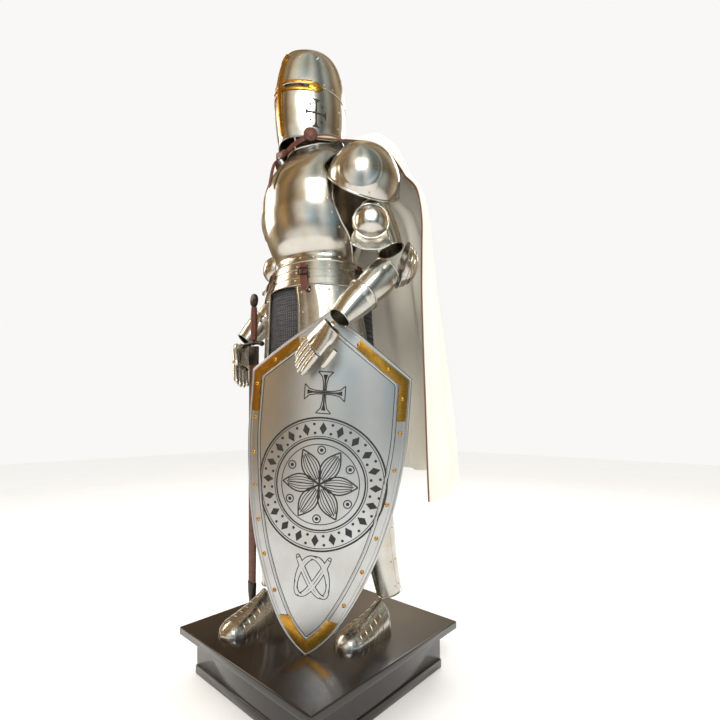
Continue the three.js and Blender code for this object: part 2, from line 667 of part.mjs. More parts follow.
function buildMantle() {
  addPiece(figure, 'mantle', sheet(mantleRows(), CLOTH), cloth());
  const strap = [STRAP_WIDTH / 2, -STRAP_WIDTH / 2].map((rise) => (
    spacedAngles(RIGHT_BOSS_ANGLE + 4, BOSS_ANGLE, 16).map((angle) => neckPoint(angle, LEATHER, rise))));
  addPiece(figure, 'mantle_strap', sheet(strap, LEATHER), leather());
  addBoss('mantle_boss_middle', 0, 12, LEATHER + GAP);
  addBoss('mantle_boss_left', BOSS_ANGLE, 20, LEATHER + GAP + 2);
  addBoss('mantle_boss_right', RIGHT_BOSS_ANGLE, 20, LEATHER + GAP + 8);
  const end = STRAP_END.map(({ x, y, z }) => [vec(x - 7, y, z), vec(x + 7, y, z)]);
  addPiece(figure, 'mantle_strap_end', sheet(end, LEATHER, { inside: vec(0, 0, 1400) }), leather());
}

// ---------------------------------------------------------------- shield
const SHIELD_OUTLINE = [
  { height: 0, half: 0 },
  { height: 22, half: 30 },
  { height: 72, half: 76 },
  { height: 130, half: 110 },
  { height: 200, half: 143 },
  { height: 309, half: 183 },
  { height: 462, half: 217 },
  { height: 640, half: 233 },
  { height: SHIELD_SHOULDER, half: SHIELD_HALF_WIDTH },
];

// Point on the shield's face: `across` and `height` are measured on its flat pattern.
function shieldPoint(across, height, lift = 0) {
  const radius = SHIELD_HALF_WIDTH ** 2 / (2 * SHIELD_BULGE);
  const lean = radians(SHIELD_LEAN);
  const turn = radians(SHIELD_TURN);
  const side = across * Math.cos(lean) + height * Math.sin(lean);
  const up = height * Math.cos(lean) - across * Math.sin(lean);
  const out = lift - (across * across) / (2 * radius);
  return vec(
    SHIELD_TIP.x + side * Math.cos(turn) + out * Math.sin(turn),
    SHIELD_TIP.y + side * Math.sin(turn) - out * Math.cos(turn),
    SEAT_GAP + up,
  );
}

const shieldTop = (across) => mix(SHIELD_HEIGHT, SHIELD_SHOULDER, Math.abs(across) / SHIELD_HALF_WIDTH);

function shieldRows(columns) {
  const rows = SHIELD_OUTLINE.map(({ height, half }) => {
    const row = [];
    for (let c = 0; c < columns; c += 1) {
      row.push(shieldPoint(mix(-half, half, c / (columns - 1)), height));
    }
    return row;
  });
  for (const rise of [0.5, 1]) {
    const row = [];
    for (let c = 0; c < columns; c += 1) {
      const across = mix(-SHIELD_HALF_WIDTH, SHIELD_HALF_WIDTH, c / (columns - 1));
      row.push(shieldPoint(across, mix(SHIELD_SHOULDER, shieldTop(across), rise)));
    }
    rows.push(row);
  }
  return rows;
}

// Brass mounts on the rim, as rows of [across, height] on the shield's flat pattern.
const TIP_MOUNT = [
  [[-6, 6], [0, 6], [6, 6]],
  [[-44, 42], [0, 46], [44, 42]],
  [[-70, 72], [0, 62], [70, 72]],
];
const SHOULDER_MOUNT = [
  [[150, 838], [190, 812], [226, 786], [228, 740], [228, 690]],
  [[145, 815], [176, 792], [202, 768], [205, 736], [208, 694]],
];

function buildShield() {
  const behind = shieldPoint(0, SHIELD_HEIGHT / 2, -400);
  addPiece(figure, 'shield_plate', sheet(shieldRows(13), SHIELD_THICKNESS, { inside: behind }), steel());
  const mountLift = BRASS_SHEET + 1.8;
  const mount = (rows) => sheet(rows.map((row) => row.map(([x, z]) => shieldPoint(x, z, mountLift))), BRASS_SHEET, { inside: behind });
  addPiece(figure, 'shield_mount_tip', mount(TIP_MOUNT), brass());
  for (const [name, hand] of [['left', 1], ['right', -1]]) {
    addPiece(figure, `shield_mount_${name}`, mount(SHOULDER_MOUNT.map((row) => row.map(([x, z]) => [hand * x, z]))), brass());
  }
}

// ---------------------------------------------------------------- sword
function buildSword() {
  const tip = vec(SWORD_TIP.x, SWORD_TIP.y, SEAT_GAP);
  const hilt = vec(SWORD_HILT.x, SWORD_HILT.y, GUARD_HEIGHT);
  const along = hilt.clone().sub(tip).normalize();
  const sword = new THREE.Group();
  sword.position.copy(tip);
  sword.quaternion.setFromUnitVectors(vec(0, 0, 1), along);
  figure.add(sword);

  const scabbardLength = GUARD_HEIGHT - 6;
  const outline = new THREE.Shape();
  outline.moveTo(-8, 0);
  outline.lineTo(8, 0);
  outline.lineTo(19, 60);
  outline.lineTo(24, scabbardLength);
  outline.lineTo(-24, scabbardLength);
  outline.lineTo(-19, 60);
  outline.closePath();
  const scabbard = new THREE.ExtrudeGeometry(outline, { depth: 8, bevelEnabled: true, bevelThickness: 3, bevelSize: 3, bevelOffset: -3, bevelSegments: 1 });
  scabbard.rotateX(Math.PI / 2);
  scabbard.translate(0, 4, 0);
  addPiece(sword, 'sword_scabbard', scabbard, leather());

  const quillon = new THREE.Shape();
  quillon.moveTo(-47, 2);
  quillon.quadraticCurveTo(0, 12, 47, 2);
  quillon.lineTo(47, 14);
  quillon.quadraticCurveTo(0, 26, -47, 14);
  quillon.closePath();
  const guard = new THREE.ExtrudeGeometry(quillon, { depth: 14, bevelEnabled: false, curveSegments: 8 });
  guard.rotateX(Math.PI / 2);
  guard.translate(0, 7, scabbardLength - 1);
  addPiece(sword, 'sword_guard', guard, darkSteel());

  const gripStart = scabbardLength + 21;
  const grip = new THREE.LatheGeometry([
    new THREE.Vector2(0, gripStart), new THREE.Vector2(11, gripStart), new THREE.Vector2(13, gripStart + 55),
    new THREE.Vector2(11, gripStart + 110), new THREE.Vector2(0, gripStart + 110),
  ], 14);
  grip.rotateX(Math.PI / 2);
  addPiece(sword, 'sword_grip', grip, leather());
  const pommelCentre = gripStart + 110 + GAP + 22;
  const pommelProfile = [];
  for (let i = 0; i <= 8; i += 1) {
    const angle = -Math.PI / 2 + (Math.PI * i) / 8;
    pommelProfile.push(new THREE.Vector2(Math.max(0, 22 * Math.cos(angle)), pommelCentre + 22 * Math.sin(angle)));
  }
  const pommel = new THREE.LatheGeometry(pommelProfile, 16);
  pommel.rotateX(Math.PI / 2);
  addPiece(sword, 'sword_pommel', pommel, darkSteel());
}

// ---------------------------------------------------------------- stand
function buildStand() {
  const board = new THREE.BoxGeometry(STAND_SIDE, STAND_SIDE, BOARD_THICKNESS);
  board.translate(0, 0, STAND_HEIGHT - BOARD_THICKNESS / 2);
  addPiece(stand, 'stand_board', board, paintedWood());
  const boxSide = STAND_SIDE - 2 * BOARD_OVERHANG;
  const boxHeight = STAND_HEIGHT - BOARD_THICKNESS - GAP;
  const box = new THREE.BoxGeometry(boxSide, boxSide, boxHeight);
  box.translate(0, 0, boxHeight / 2);
  addPiece(stand, 'stand_box', box, paintedWood());
}

buildHelm();
buildBody();
buildArm(LEFT_ARM);
buildArm(RIGHT_ARM);
LEGS.forEach(buildLeg);
buildMantle();
buildShield();
buildSword();
buildStand();

const suit = new THREE.Group();
suit.name = 'suit_of_plate_armour';
suit.add(stand, figure);
export default suit;
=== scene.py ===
# A suit of plate armour on its box: great helm, full harness over mail, white mantle, tall
# shield and sheathed sword. Lengths in the tables are millimetres above the top of the box.
# +Z is up, the figure faces -Y, and its left side is +X.
import math

import bpy
import numpy as np
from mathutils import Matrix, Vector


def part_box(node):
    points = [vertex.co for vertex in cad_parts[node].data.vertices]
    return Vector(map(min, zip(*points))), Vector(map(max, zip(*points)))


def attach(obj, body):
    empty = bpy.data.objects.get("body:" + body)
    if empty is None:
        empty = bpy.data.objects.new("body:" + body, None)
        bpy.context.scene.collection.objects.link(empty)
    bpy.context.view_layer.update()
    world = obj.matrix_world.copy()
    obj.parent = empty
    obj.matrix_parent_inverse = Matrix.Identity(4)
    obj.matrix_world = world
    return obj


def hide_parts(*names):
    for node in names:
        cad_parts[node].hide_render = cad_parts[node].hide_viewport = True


bl_info = {
    "name": "Suit of Plate Armour",
    "version": (1, 0, 0),
    "blender": (4, 5, 0),
    "location": "3D View > Sidebar > Armour",
    "description": "Builds a hollow suit of plate armour with its mantle, shield and sword",
    "category": "Object",
}

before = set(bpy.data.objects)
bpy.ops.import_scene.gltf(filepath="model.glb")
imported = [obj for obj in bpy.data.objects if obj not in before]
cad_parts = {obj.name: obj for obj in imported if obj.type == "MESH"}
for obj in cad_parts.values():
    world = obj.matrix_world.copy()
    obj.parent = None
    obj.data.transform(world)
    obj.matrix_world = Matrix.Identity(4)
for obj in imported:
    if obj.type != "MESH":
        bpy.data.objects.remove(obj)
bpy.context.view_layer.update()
BOX_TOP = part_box("stand_board")[1].z
MM = 0.001
EPS = 1e-4


# ------------------------------------------------------------------ settings
class ArmourSizes(bpy.types.PropertyGroup):
    """Sizes that a maker would choose."""

    plate: bpy.props.FloatProperty(
        name="Plate", description="Thickness of the steel plates", default=0.0016,
        min=0.0008, max=0.004, subtype="DISTANCE", unit="LENGTH", precision=4)
    roll: bpy.props.FloatProperty(
        name="Rolled edge", description="Radius of the rolled edges", default=0.0028,
        min=0.001, max=0.008, subtype="DISTANCE", unit="LENGTH", precision=4)
    lame_step: bpy.props.FloatProperty(
        name="Lame step", description="Height of the step where one lame laps the next",
        default=0.0018, min=0.0005, max=0.005, subtype="DISTANCE", unit="LENGTH", precision=4)
    rivet: bpy.props.FloatProperty(
        name="Rivet", description="Radius of the steel and brass rivet heads", default=0.0034,
        min=0.001, max=0.01, subtype="DISTANCE", unit="LENGTH", precision=4)
    ring: bpy.props.FloatProperty(
        name="Mail ring", description="Outer radius of a mail ring", default=0.0058,
        min=0.002, max=0.01, subtype="DISTANCE", unit="LENGTH", precision=4)


class ArmourColours(bpy.types.PropertyGroup):
    """Colours of the finishes, as sRGB hex values."""

    steel: bpy.props.StringProperty(
        name="Steel", description="Polished steel of the harness", default="#CDCCC8")
    shield: bpy.props.StringProperty(
        name="Shield", description="Brushed steel of the shield", default="#C6C9CC")
    brass: bpy.props.StringProperty(
        name="Brass", description="Brass mounts and rivets", default="#D2A145")
    mail: bpy.props.StringProperty(
        name="Mail", description="Steel wire of the mail", default="#8E9096")
    leather: bpy.props.StringProperty(
        name="Leather", description="Oiled straps and bosses", default="#6B3320")
    cloth: bpy.props.StringProperty(
        name="Mantle", description="Cloth of the mantle", default="#F0ECE1")
    braid: bpy.props.StringProperty(
        name="Braid", description="Braid on the mantle's front edge", default="#7A4F33")
    iron: bpy.props.StringProperty(
        name="Iron", description="Blackened iron of the hilt", default="#4A423B")
    box: bpy.props.StringProperty(
        name="Box", description="Black lacquer of the box", default="#17100D")


def sizes():
    """The sizes, in millimetres."""
    group = bpy.context.scene.armour_sizes
    return {name: getattr(group, name) / MM for name in ArmourSizes.__annotations__}


# ------------------------------------------------------------------ numbers
def through(keys, values, places):
    """Values at places on a smooth curve through a table's columns that never overshoots."""
    keys, values, places = (np.asarray(x, float) for x in (keys, values, places))
    if keys[0] > keys[-1]:
        keys, values = keys[::-1], values[::-1]
    step = np.diff(keys)
    slope = np.diff(values) / step
    tangent = np.zeros(len(keys))
    tangent[0], tangent[-1] = slope[0], slope[-1]
    low, high = slope[:-1], slope[1:]
    climbing = low * high > 0
    tangent[1:-1][climbing] = 2 * (low * high)[climbing] / (low + high)[climbing]
    i = np.clip(np.searchsorted(keys, places, side="right") - 1, 0, len(step) - 1)
    t = np.clip((places - keys[i]) / step[i], 0, 1)
    return (values[i] * (1 + 2 * t) * (1 - t) ** 2 + values[i + 1] * t * t * (3 - 2 * t)
            + step[i] * t * (1 - t) * (tangent[i] * (1 - t) - tangent[i + 1] * t))


def stations(low, high, count, edges=()):
    """Evenly spaced places from low to high, with a close pair at each lame's edge."""
    extra = [e + s * EPS * (high - low) for e in edges for s in (-1, 1)]
    return np.unique(np.concatenate([np.linspace(low, high, count), extra]))


def lames(places, edges, step, rising=False):
    """How far each place stands out where lames lap one another like roof tiles."""
    if not len(edges):
        return np.zeros(len(places))
    marks = np.concatenate([[places[0]], edges, [places[-1]]])
    i = np.clip(np.searchsorted(marks, places, side="right") - 1, 0, len(marks) - 2)
    share = (places - marks[i]) / (marks[i + 1] - marks[i])
    return step * (share if rising else 1 - share)


def unit(vector):
    vector = np.asarray(vector, float)
    return vector / np.linalg.norm(vector, axis=-1, keepdims=True)


def square_to(vector, axis):
    """The part of a vector that is square to an axis, at unit length."""
    return unit(vector - axis * np.dot(vector, axis))


def smoothstep(low, high, value):
    t = np.clip((value - low) / (high - low), 0, 1)
    return t * t * (3 - 2 * t)


# ------------------------------------------------------------------ solids
def shell(grid, thickness, wrap=False, inside=None):
    """Points and faces of a sheet of even thickness whose outer face is a grid of points."""
    grid = np.asarray(grid, float)
    rows, columns, _ = grid.shape
    outer, index = np.unique(grid.reshape(-1, 3).round(4), axis=0, return_inverse=True)
    index = index.reshape(rows, columns)
    if wrap:
        index = np.concatenate([index, index[:, :1]], axis=1)
    quads = np.stack([index[:-1, :-1], index[:-1, 1:], index[1:, 1:], index[1:, :-1]], -1)
    quads = quads.reshape(-1, 4)
    normals = np.cross(outer[quads[:, 2]] - outer[quads[:, 0]],
                       outer[quads[:, 3]] - outer[quads[:, 1]])
    middle = outer.mean(0) if inside is None else np.asarray(inside, float)
    if np.sum(normals * (outer[quads].mean(1) - middle)) < 0:
        quads, normals = quads[:, ::-1], -normals
    around = np.zeros_like(outer)
    for corner in range(4):
        np.add.at(around, quads[:, corner], normals)
    used = np.linalg.norm(around, axis=1) > 0
    around[used] = unit(around[used])
    inner = outer - around * thickness
    faces = []
    for quad in quads.tolist():
        face = list(dict.fromkeys(quad))
        if len(face) > 2:
            faces.append(face)
    count = len(outer)
    edges = {(a, b) for f in faces for a, b in zip(f, f[1:] + f[:1])}
    rim = [[b, a, a + count, b + count] for a, b in edges if (b, a) not in edges]
    back = [[v + count for v in reversed(f)] for f in faces]
    return np.concatenate([outer, inner]), faces + back + sorted(rim)


def tube(path, radius, sides=8, closed=False, flat=1.0, up=None):
    """Points and faces of a bar along a path; its section is an ellipse where flat isn't 1."""
    path = np.asarray(path, float)
    keep = np.ones(len(path), bool)
    keep[1:] = np.linalg.norm(np.diff(path, axis=0), axis=1) > 1e-3
    path = path[keep]
    count = len(path)
    radius = np.broadcast_to(np.asarray(radius, float),
                             keep.shape)[keep] if np.ndim(radius) else np.full(count, radius)
    if closed:
        ahead, behind = np.roll(path, -1, 0), np.roll(path, 1, 0)
    else:
        ahead, behind = np.vstack([path[1:], path[-1:]]), np.vstack([path[:1], path[:-1]])
    along = unit(ahead - behind)
    first = np.array([0.0, 0, 1]) if up is None else np.asarray(up, float)
    if up is None and abs(along[0][2]) > 0.9:
        first = np.array([1.0, 0, 0])
    frames = []
    for direction in along:
        first = square_to(first, direction)
        frames.append((first, np.cross(direction, first)))
    turn = np.linspace(0, 2 * np.pi, sides, endpoint=False)
    points = np.array([
        p + r * (np.cos(turn)[:, None] * a * flat + np.sin(turn)[:, None] * b)
        for p, r, (a, b) in zip(path, radius, frames)])
    if closed:
        a, b = frames[0]
        last = frames[-1][0]
        shift = int(round(math.atan2(np.dot(last, b), np.dot(last, a)) / (2 * np.pi) * sides))
    faces = []
    for r in range(count if closed else count - 1):
        following = (r + 1) % count
        move = shift if closed and following == 0 else 0
        for c in range(sides):
            d = (c + 1) % sides
            faces.append([r * sides + c, r * sides + d,
                          following * sides + (d + move) % sides,
                          following * sides + (c + move) % sides])
    if not closed:
        faces.append(list(range(sides))[::-1])
        faces.append([(count - 1) * sides + c for c in range(sides)])
    return points.reshape(-1, 3), faces


def ring_faces(rings, sides):
    """Faces that join closed rings of points in turn, with a cap at each end."""
    faces = []
    for r in range(rings - 1):
        for c in range(sides):
            d = (c + 1) % sides
            faces.append([r * sides + c, r * sides + d, (r + 1) * sides + d, (r + 1) * sides + c])
    return faces + [list(range(sides))[::-1], [(rings - 1) * sides + c for c in range(sides)]]


def lathe(profile, base, axis, sides=32):
    """Points and faces of a turned solid: profile is (distance along axis, radius) pairs."""
    axis = unit(axis)
    first = square_to(np.array([1.0, 0.2, 0.1]), axis)
    second = np.cross(axis, first)
    turn = np.linspace(0, 2 * np.pi, sides, endpoint=False)
    ring = np.cos(turn)[:, None] * first + np.sin(turn)[:, None] * second
    points = [np.asarray(base, float) + axis * along + ring * max(radius, 0.01) for along,
              radius in profile]
    return np.concatenate(points), ring_faces(len(profile), sides)


def plinth_block(half_x, half_y, low, high, ease):
    """A box with eased edges: rings of its plan, drawn in at the top and the bottom."""
    half_way = ease * 0.3
    rings = [(ease, low, 0), (half_way, low, 1), (0, low, 2), (0, high, 2), (half_way, high, 1),
             (ease, high, 0)]
    points, drop = [], (0.0, 0.3, 1.0)
    for inset, level, place in rings:
        z = level + (1 if level == low else -1) * ease * drop[place]
        x, y = half_x - inset, half_y - inset
        a, b = x - ease, y - ease
        plan = [(a, -y), (x, -b), (x, b), (a, y), (-a, y), (-x, b), (-x, -b), (-a, -y)]
        points += [(px, py, z) for px, py in plan]
    return np.array(points, float), ring_faces(len(rings), len(plan))


def around_edge(grid):
    """The closed line round a grid that doesn't wrap."""
    return np.concatenate([grid[0], grid[1:-1, -1], grid[-1, ::-1], grid[-2:0:-1, 0]])


def assemble(name, parts, replaces=(), crease=38):
    """One piece from several solids, each with its finish, in its place on the figure."""
    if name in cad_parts:
        name += "_finished"
    points, faces, finish, finishes, base = [], [], [], [], 0
    for (corners, polygons), material in parts:
        if material not in finishes:
            finishes.append(material)
        points.append(corners)
        faces += [[v + base for v in face] for face in polygons]
        finish += [finishes.index(material)] * len(polygons)
        base += len(corners)
    mesh = bpy.data.meshes.new(name)
    placed = np.concatenate(points) * MM + (0, 0, BOX_TOP)
    mesh.from_pydata(placed.tolist(), [], faces)
    for material in finishes:
        mesh.materials.append(material)
    mesh.polygons.foreach_set("material_index", finish)
    mesh.polygons.foreach_set("use_smooth", [True] * len(faces))
    mesh.set_sharp_from_angle(angle=math.radians(crease))
    obj = bpy.data.objects.new(name, mesh)
    bpy.context.scene.collection.objects.link(obj)
    return settle(obj, replaces)


def plate(name, grid, rims, inside=None, wrap=True, sides=8, seams=(), low=2, seam_radius=1.5):
    """A steel plate: its sheet, a rolled rim on each (line, radius), and raised seams down it."""
    steel = FINISHES["steel"]
    parts = [(shell(grid, sizes()["plate"], wrap, inside), steel)]
    parts += [(tube(line, radius, sides, closed=True), steel) for line, radius in rims]
    parts += [(tube(grid[low:-2, seam], seam_radius, 6, flat=0.7), steel) for seam in seams]
    return assemble(name, parts, (name,))


def settle(obj, replaces=()):
    """Hands a finished piece to the frame."""
    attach(obj, "root")
    if replaces:
        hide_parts(*replaces)
    return obj


# ------------------------------------------------------------------ repeated pieces
def group_input(tree, name, kind, default=None):
    socket = tree.interface.new_socket(name, in_out="INPUT", socket_type=kind)
    if default is not None:
        socket.default_value = default
    return socket.identifier


def scatter_tree(name, shape):
    """A tree that sets one small shape on every point, facing the way the point says."""
    tree = bpy.data.node_groups.new(name, "GeometryNodeTree")
    names = {"Points": group_input(tree, "Points", "NodeSocketGeometry"),
             "Radius": group_input(tree, "Radius", "NodeSocketFloat", 0.003),
             "Finish": group_input(tree, "Finish", "NodeSocketMaterial")}
    tree.interface.new_socket("Geometry", in_out="OUTPUT", socket_type="NodeSocketGeometry")
    given = node(tree, "NodeGroupInput")
    facing = node(tree, "GeometryNodeInputNamedAttribute", {"Name": "facing"},
                  data_type="FLOAT_VECTOR")
    turned = node(tree, "FunctionNodeAlignRotationToVector",
                  {"Vector": facing.outputs["Attribute"]}, axis="Z")
    small = shape(tree, given.outputs["Radius"])
    points = node(tree, "GeometryNodeMeshToPoints", {"Mesh": given.outputs["Points"]})
    smooth = node(tree, "GeometryNodeSetShadeSmooth", {"Geometry": small})
    placed = node(tree, "GeometryNodeInstanceOnPoints", {
        "Points": points.outputs["Points"], "Instance": smooth.outputs["Geometry"],
        "Rotation": turned.outputs["Rotation"]})
    real = node(tree, "GeometryNodeRealizeInstances", {"Geometry": placed.outputs["Instances"]})
    done = node(tree, "GeometryNodeSetMaterial", {
        "Geometry": real.outputs["Geometry"], "Material": given.outputs["Finish"]})
    node(tree, "NodeGroupOutput", {"Geometry": done.outputs["Geometry"]})
    return tree, names


def dome(tree, radius):
    """A rivet's head: a ball pressed to half its height."""
    ball = node(tree, "GeometryNodeMeshUVSphere", {"Segments": 12, "Rings": 8, "Radius": radius})
    flat = node(tree, "GeometryNodeTransform",
                {"Geometry": ball.outputs["Mesh"], "Scale": (1, 1, 0.55)})
    return flat.outputs["Geometry"]


RING_WIRE = 0.2


def wire_ring(tree, radius):
    """A mail ring: a round wire bent to a circle."""
    wire = node(tree, "ShaderNodeMath", {0: radius, 1: RING_WIRE}, operation="MULTIPLY")
    middle = node(tree, "ShaderNodeMath", {0: radius, 1: wire.outputs[0]}, operation="SUBTRACT")
    circle = node(tree, "GeometryNodeCurvePrimitiveCircle",
                  {"Resolution": 8, "Radius": middle.outputs[0]})
    section = node(tree, "GeometryNodeCurvePrimitiveCircle",
                   {"Resolution": 3, "Radius": wire.outputs[0]})
    bent = node(tree, "GeometryNodeCurveToMesh", {
        "Curve": circle.outputs["Curve"], "Profile Curve": section.outputs["Curve"]})
    return bent.outputs["Mesh"]


def scatter(name, shape, spots, radius, material):
    """A piece of small shapes at (point, facing) pairs in millimetres on the figure."""
    points = np.array([s[0] for s in spots]) * MM + (0, 0, BOX_TOP)
    facing = unit(np.array([s[1] for s in spots]))
    mesh = bpy.data.meshes.new(name + "_points")
    mesh.from_pydata(points.tolist(), [], [])
    mesh.attributes.new("facing", "FLOAT_VECTOR",
                        "POINT").data.foreach_set("vector", facing.astype(np.float32).ravel())
    obj = bpy.data.objects.new(name + "_points", mesh)
    bpy.context.scene.collection.objects.link(obj)
    tree, names = scatter_tree(name + "_tree", shape)
    modifier = obj.modifiers.new("Scatter", "NODES")
    modifier.node_group = tree
    modifier[names["Radius"]] = radius * MM
    modifier[names["Finish"]] = material
    graph = bpy.context.evaluated_depsgraph_get()
    made = bpy.data.meshes.new_from_object(obj.evaluated_get(graph))
    made.name = name
    result = bpy.data.objects.new(name, made)
    bpy.context.scene.collection.objects.link(result)
    bpy.data.objects.remove(obj)
    return settle(result)


def grid_facing(grid, inside, wrap=False):
    """Unit normals of a grid's points, away from the inside point."""
    if wrap:
        across = np.roll(grid, -1, 1) - np.roll(grid, 1, 1)
    else:
        across = np.gradient(grid, axis=1)
    normals = np.cross(across, np.gradient(grid, axis=0))
    length = np.linalg.norm(normals, axis=-1, keepdims=True)
    normals = normals / np.maximum(length, 1e-9)
    away = np.sum(normals * (grid - np.asarray(inside, float)), -1, keepdims=True)
    return np.where(away < 0, -normals, normals)


def spots_on(grid, inside, rows, columns, lift=0.2, wrap=False):
    """(point, facing) pairs at shares of a grid's rows and columns."""
    normals = grid_facing(grid, inside, wrap)
    found = []
    for r in np.atleast_1d(rows):
        for c in np.atleast_1d(columns):
            i = int(round(r * (grid.shape[0] - 1)))
            j = int(round(c * (grid.shape[1] - (0 if wrap else 1)))) % grid.shape[1]
            found.append((grid[i, j] + normals[i, j] * lift, normals[i, j]))
    return found


# ------------------------------------------------------------------ finishes
def linear(hex_colour):
    """An sRGB hex colour as a linear RGBA tuple."""
    channels = [int(hex_colour[i:i + 2], 16) / 255 for i in (1, 3, 5)]
    return tuple(c / 12.92 if c <= 0.04045 else ((c + 0.055) / 1.055) ** 2.4
                 for c in channels) + (1.0,)


def node(tree, kind, inputs=(), **settings):
    """Adds a node, sets its properties, and fills or links its inputs."""
    made = tree.nodes.new(kind)
    for key, value in settings.items():
        setattr(made, key, value)
    for key, value in dict(inputs).items():
        if isinstance(value, bpy.types.NodeSocket):
            tree.links.new(value, made.inputs[key])
        else:
            made.inputs[key].default_value = value
    return made


def ramp(tree, factor, stops):
    """A colour ramp: stops are (place, sRGB hex) pairs."""
    made = node(tree, "ShaderNodeValToRGB", {"Fac": factor})
    elements = made.color_ramp.elements
    while len(elements) < len(stops):
        elements.new(0.5)
    for element, (place, colour) in zip(elements, stops):
        element.position, element.color = place, linear(colour)
    return made.outputs["Color"]


def grain(tree, place, size_mm, stretch=(1, 1, 1), detail=3.0, roughness=0.55):
    """Noise whose blotches are about size_mm across, stretched along the axes."""
    scaled = node(tree, "ShaderNodeMapping", {"Vector": place, "Scale": stretch})
    made = node(tree, "ShaderNodeTexNoise", {
        "Vector": scaled.outputs["Vector"], "Scale": 1 / (size_mm * MM), "Detail": detail,
        "Roughness": roughness})
    return made.outputs["Fac"]


def start_material(name, metallic, roughness, **sockets):
    """A material with its shader, its tree and the object coordinates."""
    material = bpy.data.materials.new(name)
    material.use_nodes = True
    tree = material.node_tree
    shader = tree.nodes["Principled BSDF"]
    shader.inputs["Metallic"].default_value = metallic
    shader.inputs["Roughness"].default_value = roughness
    for key, value in sockets.items():
        shader.inputs[key.replace("_", " ")].default_value = value
    place = node(tree, "ShaderNodeTexCoord").outputs["Object"]
    return material, tree, shader, place


def spread(tree, factor, low, high):
    """A factor from 0 to 1 as a value from low to high."""
    return node(tree, "ShaderNodeMapRange", {
        "Value": factor, "To Min": low, "To Max": high}).outputs["Result"]


def tint(tree, factor, first, second):
    """A mix of two sRGB hex colours."""
    made = node(tree, "ShaderNodeMix", {"Factor": factor}, data_type="RGBA")
    made.inputs[6].default_value, made.inputs[7].default_value = linear(first), linear(second)
    return made.outputs[2]


def bump(tree, shader, height, depth_mm, strength=1.0, under=None):
    inputs = {"Height": height, "Distance": depth_mm * MM, "Strength": strength}
    if under is not None:
        inputs["Normal"] = under
    made = node(tree, "ShaderNodeBump", inputs)
    tree.links.new(made.outputs["Normal"], shader.inputs["Normal"])
    return made.outputs["Normal"]


def polished_steel(colour):
    # Mild steel plate, raised by hammer, planished and polished: mirror-like, with broad soft
    # waves left by the hammer, fine buffing marks and a thin warm film of old oil.
    material, tree, shader, place = start_material("polished_mild_steel", 1.0, 0.2)
    film = grain(tree, place, 70, detail=4)
    buffing = grain(tree, place, 9, (1, 1, 12), detail=6)
    tree.links.new(tint(tree, spread(tree, film, -0.6, 1.1), colour, "#B6A68C"),
                   shader.inputs["Base Color"])
    tree.links.new(spread(tree, buffing, 0.13, 0.34), shader.inputs["Roughness"])
    waves = bump(tree, shader, grain(tree, place, 46, detail=1), 0.55, 0.9)
    bump(tree, shader, buffing, 0.02, 0.5, waves)
    return material


def brushed_steel(colour):
    # Cold-rolled steel sheet finished on a belt: satin, with brush lines running down the sheet.
    # The lines are drawn 1.5 mm apart, coarser than a real belt's 0.2 mm, so that they show.
    material, tree, shader, place = start_material("belt_brushed_steel", 1.0, 0.32)
    lines = grain(tree, place, 1.5, (1, 1, 0.02), detail=2)
    cloud = grain(tree, place, 90, detail=4)
    tree.links.new(tint(tree, spread(tree, cloud, -0.4, 0.9), colour, "#B4AFA6"),
                   shader.inputs["Base Color"])
    tree.links.new(spread(tree, cloud, 0.24, 0.42), shader.inputs["Roughness"])
    waves = bump(tree, shader, grain(tree, place, 60, detail=1), 0.3, 0.5)
    bump(tree, shader, lines, 0.03, 0.35, waves)
    return material


def etched_line():
    # Lines etched into the steel and filled with black: dull and slightly uneven.
    material, tree, shader, place = start_material("blackened_etching", 0.35, 0.62)
    tree.links.new(tint(tree, grain(tree, place, 4), "#201F1E", "#3B3835"),
                   shader.inputs["Base Color"])
    return material


def polished_brass(colour):
    # Yellow brass sheet, polished and then handled: bright on the high places, browner in patches.
    material, tree, shader, place = start_material("polished_brass", 1.0, 0.25)
    patch = grain(tree, place, 16, detail=5)
    tree.links.new(tint(tree, spread(tree, patch, -0.5, 1.2), colour, "#8A5A22"),
                   shader.inputs["Base Color"])
    tree.links.new(spread(tree, patch, 0.16, 0.42), shader.inputs["Roughness"])
    bump(tree, shader, patch, 0.15, 0.5)
    return material


def mail_wire(colour):
    # Drawn steel wire, tumbled and oiled: grey, with darker rings where the oil has gathered.
    material, tree, shader, place = start_material("oiled_steel_wire", 1.0, 0.36)
    patch = grain(tree, place, 22, detail=3)
    tree.links.new(tint(tree, patch, colour, "#5C5A5B"), shader.inputs["Base Color"])
    tree.links.new(spread(tree, patch, 0.28, 0.5), shader.inputs["Roughness"])
    return material


def dark_lining():
    # Painted shade: a matte black sheet behind the mail stands in for the shade between and behind the
    # rings, so that the rings stand out.
    material, tree, shader, place = start_material("painted_shade_black_sheet", 0.0, 0.95)
    tree.links.new(tint(tree, grain(tree, place, 3), "#1B1B1E", "#2C2B2E"),
                   shader.inputs["Base Color"])
    return material


def oiled_leather(colour):
    # Vegetable-tanned cowhide, oiled: red-brown, dark along the pores, with a soft shine.
    material, tree, shader, place = start_material("vegetable_tanned_leather", 0.0, 0.48)
    mottle = grain(tree, place, 14, detail=6)
    pores = node(tree, "ShaderNodeTexVoronoi", {"Vector": place, "Scale": 1 / (1.3 * MM)},
                 feature="DISTANCE_TO_EDGE")
    tree.links.new(tint(tree, spread(tree, mottle, -0.2, 1.1), colour, "#2E150D"),
                   shader.inputs["Base Color"])
    tree.links.new(spread(tree, mottle, 0.36, 0.62), shader.inputs["Roughness"])
    bump(tree, shader, pores.outputs["Distance"], 0.25, 0.6)
    return material


